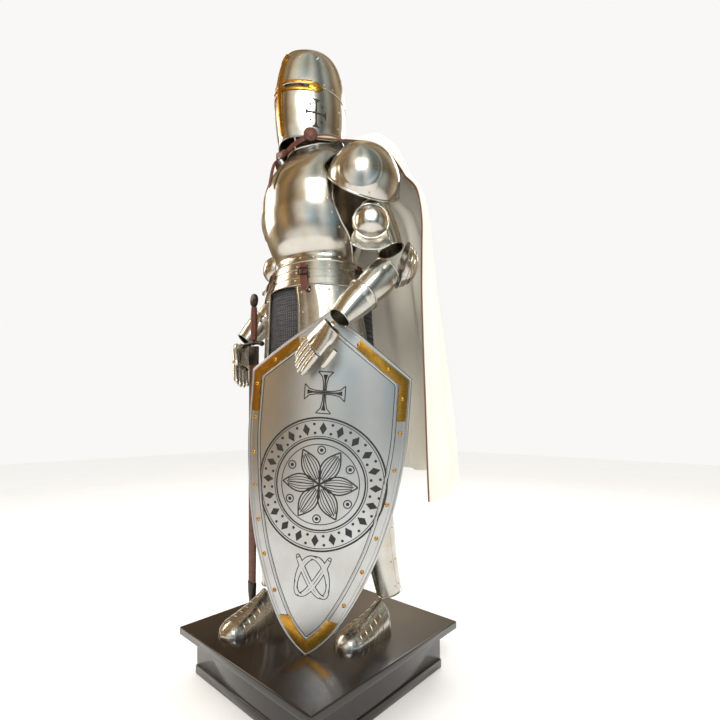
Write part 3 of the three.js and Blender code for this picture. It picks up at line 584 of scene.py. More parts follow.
def woven_cloth(name, colour, shade, thread_mm):
    # Plain-woven wool and cotton, unbleached: matte, with a soft bloom at grazing angles. The
    # threads are drawn coarser than the real 0.5 mm so that they show.
    material, tree, shader, place = start_material(name, 0.0, 0.92, Sheen_Weight=0.25,
                                                   Sheen_Roughness=0.5)
    cloud = grain(tree, place, 160, detail=4)
    tree.links.new(tint(tree, spread(tree, cloud, -0.3, 0.9), colour, shade),
                   shader.inputs["Base Color"])
    scale = 1 / (thread_mm * MM) / 2
    wave = {"Vector": place, "Scale": scale / 3.2, "Distortion": 0.4}
    warp = node(tree, "ShaderNodeTexWave", wave, bands_direction="Z")
    weft = node(tree, "ShaderNodeTexWave", wave, bands_direction="DIAGONAL")
    both = node(tree, "ShaderNodeMath", {0: warp.outputs["Fac"], 1: weft.outputs["Fac"]},
                operation="ADD")
    bump(tree, shader, both.outputs[0], 0.2, 0.35)
    return material


def blackened_iron(colour):
    # Forged iron, oil-blackened: dark brown-grey with small hammer facets and worn edges.
    material, tree, shader, place = start_material("oil_blackened_iron", 0.9, 0.4)
    wear = grain(tree, place, 10, detail=5)
    tree.links.new(tint(tree, wear, colour, "#1F1A17"), shader.inputs["Base Color"])
    tree.links.new(spread(tree, wear, 0.3, 0.55), shader.inputs["Roughness"])
    bump(tree, shader, wear, 0.4, 0.5)
    return material


def black_lacquer(colour):
    # Board painted with black-brown lacquer: glossy coat, faint brush drag, a little dust.
    material, tree, shader, place = start_material("black_lacquered_board", 0.0, 0.3,
                                                   Coat_Weight=0.5, Coat_Roughness=0.12)
    drag = grain(tree, place, 5, (0.08, 1, 1), detail=4)
    dust = grain(tree, place, 120, detail=5)
    tree.links.new(tint(tree, spread(tree, dust, -0.5, 0.7), colour, "#2B201A"),
                   shader.inputs["Base Color"])
    tree.links.new(spread(tree, dust, 0.22, 0.45), shader.inputs["Roughness"])
    bump(tree, shader, drag, 0.06, 0.4)
    return material


FINISHES = {}


def make_finishes():
    colours = bpy.context.scene.armour_colours
    FINISHES.update(
        steel=polished_steel(colours.steel),
        shield=brushed_steel(colours.shield),
        etched=etched_line(),
        brass=polished_brass(colours.brass),
        mail=mail_wire(colours.mail),
        lining=dark_lining(),
        leather=oiled_leather(colours.leather),
        cloth=woven_cloth("undyed_wool_cloth", colours.cloth, "#E2DCCB", 1.6),
        braid=woven_cloth("worsted_braid", colours.braid, "#5A3521", 1.2),
        iron=blackened_iron(colours.iron),
        lacquer=black_lacquer(colours.box),
    )


# ------------------------------------------------------------------ helm
HELM_X, HELM_Y = -20, -20
HELM = {"z": [1504, 1550, 1620, 1665, 1710, 1752, 1780, 1796, 1804, 1806],
        "radius": [97, 105, 110, 108, 102, 92, 78, 56, 30, 0]}
HELM_RIDGE = 0.14
SLIT_HEIGHT = 10
SLIT_FROM, SLIT_TO = math.radians(10), math.radians(50)
PATTERN_RADIUS = 108
BROW_RIVET_STEP = 15


def brow(angle):
    """Height of the brow line round the helm, highest at the ridge."""
    return 1636 + 12 * np.cos(angle)


def helm_point(angle, z, lift=0.0):
    radius = through(HELM["z"], HELM["radius"], z) + lift
    out = radius * HELM_RIDGE * np.clip(np.cos(angle), 0, 1) ** 6
    angle, z, radius, out = np.broadcast_arrays(angle, z, radius, out)
    return np.stack([HELM_X + radius * np.sin(angle), HELM_Y - (radius + out) * np.cos(angle), z],
                    -1)


def helm_face_point(place, lift=0.0):
    """A point of the flat pattern wrapped round the helm: (arc length, height over the brow)."""
    angle = place[..., 0] / PATTERN_RADIUS
    return helm_point(angle, brow(angle) + place[..., 1], lift)


def helm_axis_spots(angles, height, lift):
    """(point, facing) pairs at one height over the brow."""
    spots = []
    for angle in np.radians(angles):
        base = helm_face_point(np.array([angle * PATTERN_RADIUS, height]), lift)
        spots.append((base, np.array([math.sin(angle), -math.cos(angle), 0.05])))
    return spots


def ribbon(surface, path, half, lift, thickness=0.8, crown=0.0, closed=False, across=5,
           inside=None):
    """A raised strip along a line of a surface's flat pattern, half its width to each side."""
    path = np.asarray(path, float)
    if closed:
        ahead = np.roll(path, -1, 0) - np.roll(path, 1, 0)
    else:
        ahead = np.gradient(path, axis=0)
    ahead = unit(ahead)
    side = np.stack([-ahead[:, 1], ahead[:, 0]], -1)
    share = np.linspace(-1, 1, across)
    half = np.broadcast_to(np.asarray(half, float), (len(path),))
    flat = path[:, None] + side[:, None] * (share[None, :, None] * half[:, None, None])
    rise = lift + crown * (1 - share ** 2)
    lifts = np.broadcast_to(rise, (len(path), across)) if np.ndim(lift) == 0 else rise
    grid = surface(flat, lifts)
    if closed:
        grid = np.concatenate([grid, grid[:1]])
    return shell(grid, thickness, inside=inside)


def spaced(points, step, closed=False):
    """Points at even steps along straight lines through the given points, corners kept."""
    points = [np.asarray(p, float) for p in points]
    if closed:
        points.append(points[0])
    found = []
    for a, b in zip(points, points[1:]):
        count = max(2, int(math.ceil(np.linalg.norm(b - a) / step)) + 1)
        found.extend(a + (b - a) * t for t in np.linspace(0, 1, count)[:-1])
    if not closed:
        found.append(points[-1])
    return np.array(found)


CROSS_UPRIGHT = {"height": [-131, -60, 0, 60, 88, 98, 108, 118, 126],
                 "half": [9, 10, 11, 11, 12, 18, 20, 10, 1.5]}
CROSS_FINIAL = {"reach": [93, 99, 106, 113, 120, 128], "half": [9.4, 10, 15, 14, 8, 1.5]}
ETCHED_ARM = {"run": [0, 18, 26, 29, 31], "half": [3.0, 2.4, 4.5, 11, 12]}
ETCHED_TALL = 1.28


def build_helm():
    size = sizes()
    steel, brass = FINISHES["steel"], FINISHES["brass"]
    middle = (HELM_X, HELM_Y, 1600)
    around = np.linspace(-np.pi, np.pi, 168, endpoint=False)
    level = np.sin(np.linspace(0, np.pi / 2, 40))
    low = brow(around) + SLIT_HEIGHT
    top = HELM["z"][-1]
    skull_z = low[None] + (top - low[None]) * level[:, None]
    skull = helm_point(around[None], skull_z, 1.0)
    skull[-1] = skull[-1].mean(0)
    parts = [(shell(skull, size["plate"], True, middle), steel)]

    def lower(from_angle, to_angle, columns, slit):
        angle = np.linspace(from_angle, to_angle, columns)
        if slit:
            marks = np.array([s * a for a in (SLIT_FROM, SLIT_TO) for s in (-1, 1)])
            angle = np.unique(np.concatenate([angle, marks - 0.002, marks + 0.002]))
        cut = (np.abs(angle) > SLIT_FROM) & (np.abs(angle) < SLIT_TO) if slit else np.zeros(len(angle), bool)
        upper = brow(angle) + SLIT_HEIGHT - 0.5 - np.where(cut, SLIT_HEIGHT - 1, 0)
        share = np.linspace(0, 1, 30)[:, None]
        return helm_point(angle[None], HELM["z"][0] + (upper - HELM["z"][0])[None] * share)

    face = lower(-math.radians(100), math.radians(100), 110, True)
    nape = lower(math.radians(101), math.radians(259), 80, False)
    parts += [(shell(face, size["plate"], inside=middle), steel),
              (shell(nape, size["plate"], inside=middle), steel)]
    hem = helm_point(around, HELM["z"][0] + 2.5, -0.2)
    parts.append((tube(hem, size["roll"], 8, closed=True), steel))
    seam = helm_face_point(np.stack([around * PATTERN_RADIUS,
                                     np.full(around.shape, SLIT_HEIGHT + 1.0)], -1), 0.6)
    parts.append((tube(seam, 1.5, 6, closed=True), steel))
    assemble("helm", parts, ("helm_skull", "helm_face", "helm_nape"))

    lift = size["plate"] + 0.6
    heights = np.linspace(CROSS_UPRIGHT["height"][0], CROSS_UPRIGHT["height"][-1], 90)
    upright = np.stack([np.zeros(90), heights], -1)
    trim = [(ribbon(helm_face_point, upright,
                    through(CROSS_UPRIGHT["height"], CROSS_UPRIGHT["half"], heights),
                    lift, 1.4, 1.6, across=9, inside=middle), brass)]
    for hand in (-1, 1):
        reach = np.linspace(8, 96, 50)
        for height in (SLIT_HEIGHT + 5.5, -5.5):
            line = np.stack([hand * reach, np.full(50, height)], -1)
            trim.append((ribbon(helm_face_point, line, 4.6, lift, 1.2, 0.8, inside=middle), brass))
        reach = np.linspace(93, 128, 26)
        line = np.stack([hand * reach, np.full(26, SLIT_HEIGHT / 2)], -1)
        trim.append((ribbon(helm_face_point, line,
                            through(CROSS_FINIAL["reach"], CROSS_FINIAL["half"], reach),
                            lift, 1.2, 0.8, inside=middle), brass))
        line = np.stack([hand * np.linspace(88, 95, 6), np.full(6, SLIT_HEIGHT / 2)], -1)
        trim.append((ribbon(helm_face_point, line, 9.6, lift - 0.05, 1.2, 0.7, inside=middle),
                     brass))
    assemble("helm_brass_cross", trim, ("helm_cross",))

    etched = []
    for hand in (-1, 1):
        centre = np.array([hand * math.radians(57) * PATTERN_RADIUS, -71.0])
        for quarter in range(4):
            a = math.radians(90 * quarter)
            direction = np.array([math.cos(a), math.sin(a) * ETCHED_TALL])
            run = np.linspace(0, ETCHED_ARM["run"][-1], 24)
            line = centre + run[:, None] * direction
            half = through(ETCHED_ARM["run"], ETCHED_ARM["half"], run)
            etched.append((ribbon(helm_face_point, line, half, 0.25, 0.3, across=3, inside=middle),
                           FINISHES["etched"]))
            dot = centre + np.array([math.cos(a + math.pi / 4),
                                     math.sin(a + math.pi / 4) * 1.2]) * 25
            run = np.linspace(-3.4, 3.4, 7)
            line = dot + run[:, None] * np.array([1.0, 0])
            etched.append((ribbon(helm_face_point, line,
                                  np.sqrt(np.clip(3.5 ** 2 - run ** 2, 0.05, None)), 0.25, 0.3,
                                  across=3, inside=middle), FINISHES["etched"]))
    assemble("helm_etched_crosses", etched)

    spots = helm_axis_spots(np.arange(70, 291, BROW_RIVET_STEP), SLIT_HEIGHT + 9, 1.2)
    spots += helm_axis_spots([s * a for a in (32, 62) for s in (-1, 1)], 105, 1.0)
    spots += helm_axis_spots(np.arange(-150, 181, 30), 100, 1.0)
    spots += helm_axis_spots([-100, 100], -30, 0.2) + helm_axis_spots([-100, 100], -80, 0.2)
    scatter("helm_rivets", dome, spots, size["rivet"] * 0.85, steel)
    places = [(0, -120), (0, -75), (0, -30), (0, 45), (0, 80), (0, 106)]
    places += [(s * x, 5) for s in (-1, 1) for x in (101, 112)]
    places += [(s * x, 15.5) for s in (-1, 1) for x in (20, 45, 70)]
    golden = []
    for place in np.array(places, float):
        out = helm_face_point(place, 9) - helm_face_point(place)
        golden.append((helm_face_point(place, lift + 2.0), unit(out)))
    scatter("helm_brass_rivets", dome, golden, size["rivet"] * 0.7, brass)


# ------------------------------------------------------------------ cuirass
BREAST = {"z": [1122, 1142, 1185, 1235, 1285, 1330, 1375, 1405, 1432, 1456, 1474],
          "half": [152, 146, 158, 170, 175, 174, 160, 146, 128, 104, 92],
          "depth": [131, 124, 152, 173, 181, 180, 170, 154, 134, 118, 108],
          "reach": [89, 89, 82, 68, 61, 60, 53, 60, 80, 89, 89],
          "rise": [0, 0, 0, 0, 0, 4, 8, 18, 30, 30, 22]}
BACK = {"z": [1122, 1142, 1185, 1235, 1285, 1330, 1375, 1405, 1432, 1456, 1474],
        "half": [152, 146, 158, 170, 175, 174, 160, 150, 128, 104, 92],
        "depth": [100, 96, 108, 126, 138, 140, 134, 124, 112, 102, 94],
        "reach": [89, 89, 82, 64, 58, 56, 55, 68, 80, 89, 89],
        "rise": [0, 0, 0, 0, 0, 4, 8, 20, 26, 26, 20]}
FAULD = {"z": [1044, 1080, 1118], "half": [178, 169, 158], "depth": [156, 147, 137]}
MAIL = {"z": [690, 780, 870, 960, 1040], "half": [198, 191, 183, 175, 168],
        "depth": [149, 148, 147, 146, 144]}
TASSET = {"z": [715, 740, 810, 900, 980, 1042],
          "half": [207, 205, 200, 192, 184, 180], "depth": [162, 161, 160, 158, 157, 157],
          "inner": [40, 29, 23, 22, 22, 20], "outer": [74, 86, 94, 92, 88, 82]}
MIDDLE, HIPS = (0, 0, 1200), (0, 0, 900)
TASSET_STRAP = {"z": [1026, 1064, 1106], "angle": [31, 28, 26], "half": [192, 181, 168],
                "depth": [169, 160, 147]}
MAIL_COLUMNS, MAIL_ROWS = 136, 46


def torso(table, facing, rows, columns):
    """The front (-1) or the back (+1) of the cuirass."""
    z = np.linspace(table["z"][0], table["z"][-1], rows)
    half, depth, reach, rise = (through(table["z"], table[n], z)[:, None]
                                for n in ("half", "depth", "reach", "rise"))
    angle = np.radians(reach * np.linspace(-1, 1, columns))
    side = np.abs(np.sin(angle)) ** 3
    return np.stack([half * np.sin(angle), facing * depth * np.cos(angle),
                     z[:, None] + rise * side], -1)


def hoop(table, columns, rows=10, edges=(), step=0.0, lift=0.0):
    """Rings round the body."""
    z = stations(table["z"][0], table["z"][-1], rows, edges)
    out = lift + lames(z, edges, step)
    half, depth = through(table["z"], table["half"],
                          z) + out, through(table["z"], table["depth"], z) + out
    angle = np.linspace(0, 2 * np.pi, columns, endpoint=False)
    return np.stack(np.broadcast_arrays(half[:, None] * np.sin(angle),
                                        -depth[:, None] * np.cos(angle), z[:, None]), -1)


def strap(points, normals, half, thickness, material):
    """A leather strap: a flat bar along points, square to the normals."""
    points, normals = np.asarray(points, float), unit(np.asarray(normals, float))
    along = unit(np.gradient(points, axis=0))
    side = unit(np.cross(along, normals))
    share = np.array([-1, -0.9, -0.5, 0, 0.5, 0.9, 1])
    swell = np.array([-0.5, 0.1, 0.25, 0.3, 0.25, 0.1, -0.5])
    half = np.broadcast_to(np.asarray(half, float), (len(points),))
    grid = points[:, None] + side[:,
                                  None] * (share[None, :, None]
                                           * half[:, None,
                                                  None]) + normals[:, None] * swell[None, :, None]
    inside = points.mean(0) - normals.mean(0) * 200
    return shell(grid, thickness, inside=inside), material


def buckle(centre, normal, along, width, height, bar=1.7):
    """A framed buckle with its tongue."""
    normal = unit(normal)
    up = square_to(np.asarray(along, float), normal)
    side = np.cross(normal, up)
    turn = np.linspace(0, 2 * np.pi, 40, endpoint=False)
    square = 0.45
    x, y = (np.sign(f) * np.abs(f) ** square for f in (np.cos(turn), np.sin(turn)))
    centre = np.asarray(centre, float)
    loop = centre + side * (x * width / 2)[:, None] + up * (y * height / 2)[:, None] + normal * bar
    tongue = [centre + up * t * height / 2 + normal * (bar + 1.5 - 1.2 * t * t)
              for t in np.linspace(-1, 1.05, 9)]
    post = [centre - up * height * 0.5 + side * s * width / 2 + normal * bar for s in (-1, 1)]
    return [tube(loop, bar, 8, closed=True), tube(tongue, bar * 0.75, 6), tube(post, bar * 0.9, 6)]


def build_cuirass():
    size = sizes()
    steel, leather, iron = FINISHES["steel"], FINISHES["leather"], FINISHES["iron"]
    front, back = torso(BREAST, -1, 90, 96), torso(BACK, 1, 80, 80)
    studs = []
    for name, grid in (("breastplate", front), ("backplate", back)):
        plate(name, grid, [(around_edge(grid), size["roll"])], MIDDLE, wrap=False)
        studs += spots_on(grid, MIDDLE, np.linspace(0.16, 0.66, 6), [0.045, 0.955])
        studs += spots_on(grid, MIDDLE, [0.035], np.linspace(0.12, 0.88, 9))
    edges = (1068, 1093)
    skirt = hoop(FAULD, 140, 16, edges, size["lame_step"])
    plate("fauld", skirt, [(skirt[0], size["roll"] * 0.9), (skirt[-1], size["roll"] * 0.8)], MIDDLE)
    studs += spots_on(skirt, MIDDLE, [0.18, 0.5, 0.86], np.linspace(0.05, 0.95, 10), wrap=True)

    share = np.linspace(0, 1, 60)
    for hand, name in ((1, "left"), (-1, "right")):
        z = np.linspace(TASSET["z"][0], TASSET["z"][-1], 70)
        half, depth, inner, outer = (through(TASSET["z"], TASSET[n], z)[:, None]
                                     for n in ("half", "depth", "inner", "outer"))
        angle = np.radians(inner + (outer - inner) * share[None])
        crease = 4 * np.clip(1 - np.abs(share[None] - 0.3) * 6, 0, 1) ** 1.3
        grid = np.stack(np.broadcast_arrays(hand * (half + crease) * np.sin(angle),
                                            -(depth + crease) * np.cos(angle), z[:, None]), -1)
        plate("tasset_" + name, grid, [(around_edge(grid), size["roll"])], HIPS, wrap=False)
        studs += spots_on(grid, HIPS, np.linspace(0.06, 0.94, 6), [0.07, 0.93])
        studs += spots_on(grid, HIPS, [0.96], [0.2, 0.35, 0.5, 0.65, 0.8])
    scatter("harness_rivets", dome, studs, size["rivet"], steel)

    line, trim = TASSET_STRAP, []
    for turn_shift, width, low in ((0, 11, 1022), (-48, 9, 1040), (66, 11, 1034), (-78, 11, 1034)):
        z = np.linspace(low, 1110, 26)
        angle = np.radians(through(line["z"], line["angle"], z) + turn_shift)
        half, depth = through(line["z"], line["half"],
                              z) + 1, through(line["z"], line["depth"], z) + 1
        points = np.stack([half * np.sin(angle), -depth * np.cos(angle), z], -1)
        normals = np.stack([np.sin(angle), -np.cos(angle), np.full(26, 0.25)], -1)
        taper = width * np.minimum(1, np.sqrt(np.clip((z - low) / 9 + 0.05, 0, 1)))
        trim.append(strap(points, normals, taper, 3, leather))
        for solid in buckle(points[17] + normals[17] * 1.5, normals[17], (0, 0, 1), width * 2.4,
                            20):
            trim.append((solid, iron))
    assemble("tasset_straps", trim, ("tasset_strap",))


# ------------------------------------------------------------------ mail
def mail_spots(columns, rows, first, last):
    """Ring centres on the mail skirt; rows lean opposite ways, as rings linked four in one do."""
    spots = []
    for r, z in enumerate(np.linspace(MAIL["z"][0] + 3, MAIL["z"][-1] - 3, rows)):
        half = float(through(MAIL["z"], MAIL["half"], z)) + 2.2
        depth = float(through(MAIL["z"], MAIL["depth"], z)) + 2.2
        lean = 0.75 if r % 2 else -0.75
        for c in range(first, last):
            angle = 2 * math.pi * (c + 0.5 * (r % 2)) / columns
            out = np.array([math.sin(angle), -math.cos(angle), 0])
            side = np.array([math.cos(angle), math.sin(angle), 0])
            spots.append((np.array([half * out[0], depth * out[1], z]), out + side * lean))
    return spots


def build_mail():
    size = sizes()
    # A dark sheet just inside the rings paints the shade seen through the mail.
    lining = hoop(MAIL, 96, 24, lift=-1.2)
    assemble("mail_lining", [(shell(lining, 2.0, True, (0, 0, 860)), FINISHES["lining"])],
             ("mail_skirt",))
    for name, first, last in (("mail_front", -34, 34), ("mail_back", 34, 102)):
        scatter(name, wire_ring, mail_spots(MAIL_COLUMNS, MAIL_ROWS, first, last), size["ring"],
                FINISHES["mail"])


# ------------------------------------------------------------------ limbs
def limb(start, end, side, table, rows=40, columns=56, edges=(), step=0.0, rising=False, ridge=0.0,
         ridge_at=0.0):
    """A tube along a limb. The table's places are shares of the limb's length."""
    start, end = np.asarray(start, float), np.asarray(end, float)
    length = np.linalg.norm(end - start)
    along = (end - start) / length
    across = square_to(np.asarray(side, float), along)
    depth = np.cross(along, across)
    at = stations(table["at"][0], table["at"][-1], rows, edges)
    out = lames(at, edges, step, rising)
    turn = np.linspace(0, 2 * np.pi, columns, endpoint=False)
    peak = 1 + ridge * np.clip(np.cos(turn - ridge_at), 0, 1) ** 10
    wide = (through(table["at"], table["wide"], at) + out)[:, None] * np.cos(turn) * peak
    deep = (through(table["at"], table["deep"], at) + out)[:, None] * np.sin(turn) * peak
    return (start + along * (at * length)[:, None, None] + across * wide[..., None] + depth
            * deep[..., None])


def cap(centre, radii, pole, up, reach, rows=30, columns=80, edges=(), step=0.0, rising=True):
    """A cap on an ellipsoid, from its pole out to the reach in degrees."""
    axis = unit(pole)
    first = square_to(np.asarray(up, float), axis)
    second = np.cross(axis, first)
    turn = np.linspace(0, 2 * np.pi, columns, endpoint=False)
    share = stations(0, 1, rows, edges)
    out = lames(share, edges, step, rising)
    tilt = np.radians((reach(turn) if callable(reach) else reach) * share[:, None]
                      * np.ones(columns))
    direction = (axis * np.cos(tilt)[..., None] + first * (np.sin(tilt) * np.cos(turn))[..., None]
                 + second * (np.sin(tilt) * np.sin(turn))[..., None])
    grid = np.asarray(centre, float) + direction * (np.asarray(radii, float) + out[:, None, None])
    grid[0] = grid[0].mean(0)
    return grid


LEFT_ARM = dict(
    name="left", hand=1, shoulder=(188, -22, 1390), elbow=(292, 20, 1095), wrist=(221, -142, 918),
    tip=(100, -189, 797), back=(0.19, -0.913, 0.362), wing_facing=(0.6756, -0.7373, 0.1),
    wing_centre=(266, -55, 1195), pauldron_centre=(201, -12, 1336), pauldron_inner=6)
RIGHT_ARM = dict(
    name="right", hand=-1, shoulder=(-176, 18, 1390), elbow=(-224, 62, 1110),
    wrist=(-294, -98, 925),
    tip=(-262, -130, 765), back=(-0.9, -0.42, -0.13), wing_facing=(-0.45, -0.88, 0.1),
    wing_centre=(-236, -6, 1190), pauldron_centre=(-173, 26, 1342), pauldron_inner=32)
PAULDRON_RADII, PAULDRON_CREASE = (103, 108, 110), 0.9
WING = {"ring": [0, 1, 2, 3, 4, 5, 6], "radius": [0, 17, 31, 42, 47, 49, 49],
        "height": [38, 36, 28, 15, 4, 3, 3],
        "fan": [0, 0, 0, 0, 0, 16, 42], "flare": [0, 0, 0, 0, 0, 6, 22]}
WING_FAN_INNER, WING_FAN_OUTER = 32, 62
REREBRACE = {"at": [0.42, 0.62, 0.87], "wide": [42, 42, 37], "deep": [43, 42, 37]}
VAMBRACE = {"at": [0.16, 0.32, 0.66], "wide": [42, 45, 37], "deep": [42, 45, 36]}
CUFF = {"at": [0.56, 0.8, 0.95], "wide": [45, 40, 36], "deep": [44, 37, 29]}
HAND = {"at": [0.11, 0.28, 0.52], "wide": [35, 42, 43], "deep": [24, 19, 15]}
HAND_KNUCKLE, KNUCKLE_PITCH = 0.54, 21.0
FINGERS = (("index", 31, 0.42, 9.5), ("middle", 10.5, 0.46, 9.8), ("ring", -10.5, 0.43, 9.5),
           ("little", -31, 0.36, 9))


def pauldron_grid(arm):
    hand = arm["hand"]

    def reach(turn):
        out, front = np.cos(turn), -hand * np.sin(turn)
        return 90 + np.where(out > 0, 8, arm["pauldron_inner"]) * out + 12 * front

    grid = cap(arm["pauldron_centre"], PAULDRON_RADII, (hand * 0.55, -0.08, 0.83), (hand, 0, -0.6),
               reach, 60, 120)
    # A pressed crease runs down the outer face, and the plate dishes slightly before it.
    centre = np.asarray(arm["pauldron_centre"], float)
    away = unit(grid - centre)
    across = away @ np.array([math.cos(PAULDRON_CREASE) * hand, -math.sin(PAULDRON_CREASE), 0.0])
    down = smoothstep(0.55, -0.1, away[..., 2])
    # A pressed crease runs down the outer face.
    bead = np.exp(-((across - 0.86) / 0.035) ** 2)
    return grid + away * (2.2 * bead * down)[..., None]


def wing_grid(arm, columns=96):
    ring = stations(0, 6, 60, (4.0,))
    radius, height, fan, flare = (through(WING["ring"], WING[n], ring)[:, None]
                                  for n in ("radius", "height", "fan", "flare"))
    axis = unit(arm["wing_facing"])
    up = square_to(np.array([0, 0, 1.0]), axis)
    side = np.cross(axis, up)
    turn = np.linspace(0, 360, columns, endpoint=False)
    share = np.clip((WING_FAN_OUTER - np.abs(turn - 180)) / (WING_FAN_OUTER - WING_FAN_INNER), 0, 1)
    share = share * share * (3 - 2 * share)
    reach = radius + fan * share
    flutes = 0.9 * np.cos(np.radians((turn - 180) * 12)) * share * smoothstep(4.2, 6, ring)[:, None]
    out = height + flare * share + flutes
    a = np.radians(turn)
    grid = (np.asarray(arm["wing_centre"], float) + up * (reach * np.cos(a))[..., None]
            + side * (reach * np.sin(a))[..., None] + axis * out[..., None])
    grid[0] = grid[0].mean(0)
    return grid


def digit(root, along, bend, length, radius, side, lame_count, thumb=False):
    """A finger of overlapping lames along a bent line, closed at its tip."""
    edges = np.linspace(0, 0.86, lame_count + 1)[1:-1]
    t = stations(0, 1, 44, edges)
    taper = through([0, 0.3, 0.6, 0.86, 0.95, 1], [1, 0.98, 0.92, 0.8, 0.52, 0.02], t)
    out = lames(t, edges, 1.1, rising=True) * (t < 0.9)
    curve = t if thumb else t * t
    centres = root + along * (length * t)[:, None] + bend * (10 * curve)[:, None]
    across = square_to(side, along)
    depth = np.cross(along, across)
    turn = np.linspace(0, 2 * np.pi, 20, endpoint=False)
    size = (radius * taper + out)[:, None]
    return centres[:, None] + across * (size * np.cos(turn))[...,
                                                             None] + depth * (size * np.sin(turn))[..., None]


def build_hand(arm, studs):
    steel = FINISHES["steel"]
    wrist, tip = np.asarray(arm["wrist"], float), np.asarray(arm["tip"], float)
    reach = np.linalg.norm(tip - wrist)
    along = (tip - wrist) / reach
    back = square_to(np.asarray(arm["back"], float), along)
    thumb_side = np.cross(back, along)
    name = arm["name"]
    edges = (0.2, 0.27, 0.34, 0.43)
    grid = limb(wrist, tip, thumb_side, HAND, 30, 64, edges, 1.3, rising=True)
    # Low knuckle ridges on the back of the hand, one over each finger.
    normal = unit(grid - grid.mean(1, keepdims=True))
    rise = np.clip(normal @ back, 0, 1) ** 2
    place = (grid - wrist) @ thumb_side
    ridges = np.cos(place / KNUCKLE_PITCH * 2 * np.pi - math.pi) * 0.5 + 0.5
    far = smoothstep(0.3, 0.5, (grid - wrist) @ along / reach)
    grid = grid + back * (2.2 * ridges * rise * far)[..., None]
    plate("gauntlet_hand_" + name, grid, [(grid[0], 1.8), (grid[-1], 1.8)], sides=6)
    for finger, across, length, radius in FINGERS:
        root = wrist + along * (reach * HAND_KNUCKLE + 2) + thumb_side * across
        rows = digit(root, along, -back, reach * length, radius, thumb_side, 7)
        node_name = f"finger_{finger}_{name}"
        assemble(node_name, [(shell(rows, 1.2, True), steel)], (node_name,),
                 crease=24)
        for t in (0.1, 0.36, 0.6):
            i = int(t * (len(rows) - 1))
            middle = rows[i].mean(0)
            studs.append((middle + back * (radius + 0.6), back))
    root = wrist + along * (reach * 0.3) + thumb_side * 56 - back * 12
    rows = digit(root, along, -back, reach * 0.36, 10.5, thumb_side, 5, thumb=True)
    assemble("thumb_" + name, [(shell(rows, 1.2, True), steel)], ("thumb_" + name,),
             crease=24)


def build_arm(arm):
    size, steel = sizes(), FINISHES["steel"]
    name, hand, studs = arm["name"], arm["hand"], []
    side = (hand, 0, 0)
    shoulder, elbow, wrist = (np.asarray(arm[n], float) for n in ("shoulder", "elbow", "wrist"))

    grid = pauldron_grid(arm)
    rim = grid[-1] + unit(grid[-1] - np.asarray(arm["pauldron_centre"], float)) * 0.6
    plate("pauldron_" + name, grid, [(rim, 3.6)], arm["pauldron_centre"], sides=10)
    studs += spots_on(grid, arm["pauldron_centre"], [0.93], np.linspace(0, 0.92, 12), wrap=True)

    grid = limb(shoulder, elbow, side, REREBRACE, 24, 72, (0.56, 0.66, 0.76), size["lame_step"])
    plate("rerebrace_" + name, grid, [(grid[0], 2.2), (grid[-1], 2.2)])

    grid = wing_grid(arm)
    centre, axis = np.asarray(arm["wing_centre"], float), unit(arm["wing_facing"])
    plate("couter_wing_" + name, grid, [(grid[-1], size["roll"])], centre - axis * 200)
    studs.append((grid[0, 0], axis))
    studs += spots_on(grid, centre - axis * 200, [0.7], [0.1, 0.3, 0.7, 0.9], wrap=True)

    point = -(unit(shoulder - elbow) + unit(wrist - elbow))
    grid = cap(elbow, (62, 63, 64), point, (0, 0, 1), 72, 40, 96, (0.62, 0.8), size["lame_step"])
    plate("couter_" + name, grid, [(grid[-1], 2.4)], elbow)
    studs += spots_on(grid, elbow, [0.9], np.linspace(0, 0.9, 8), wrap=True)

    grid = limb(elbow, wrist, side, VAMBRACE, 30, 80, (0.22, 0.27), size["lame_step"], ridge=0.035,
                ridge_at=0.6)
    plate("vambrace_" + name, grid, [(grid[0], 2.2), (grid[-1], 2.0)], seams=(20, 60))
    studs += spots_on(grid, grid.mean((0, 1)), [0.5, 0.75], [0.2, 0.3, 0.7, 0.8], wrap=True)

    grid = limb(elbow, wrist, side, CUFF, 30, 80, (0.62, 0.66), size["lame_step"], ridge=0.03,
                ridge_at=0.6)
    plate("gauntlet_cuff_" + name, grid, [(grid[0], 2.8), (grid[-1], 2.0)], seams=(20, 60), low=6,
          seam_radius=1.4)
    studs += spots_on(grid, grid.mean((0, 1)), [0.12, 0.9], np.linspace(0, 0.875, 8), wrap=True)
    build_hand(arm, studs)
    scatter("arm_rivets_" + name, dome, studs, size["rivet"] * 0.75, steel)


# ------------------------------------------------------------------ legs
LEGS = (
    dict(name="left", hip=(78, 5, 880), knee=(148, 50, 490), ankle=(177, 140, 95),
         heel=(184, 192, 0), toe=(160, -80, 0)),
    dict(name="right", hip=(-78, 5, 880), knee=(-132, -75, 490), ankle=(-158, -62, 95),
         heel=(-166, -8, 0), toe=(-140, -272, 0)),
)
CUISSE = {"at": [0, 0.4, 0.78, 0.87], "wide": [68, 65, 60, 56], "deep": [74, 71, 64, 58]}
GREAVE = {"at": [0.13, 0.35, 0.7, 0.95], "wide": [53, 56, 44, 38], "deep": [55, 62, 47, 42]}
FOOT = {"at": [0.36, 0.5, 0.65, 0.8, 0.91, 0.975, 1], "half": [43, 46, 50, 50, 40, 22, 0.4],
        "height": [96, 76, 60, 48, 36, 22, 12]}
SOLE_GAP = 0.5


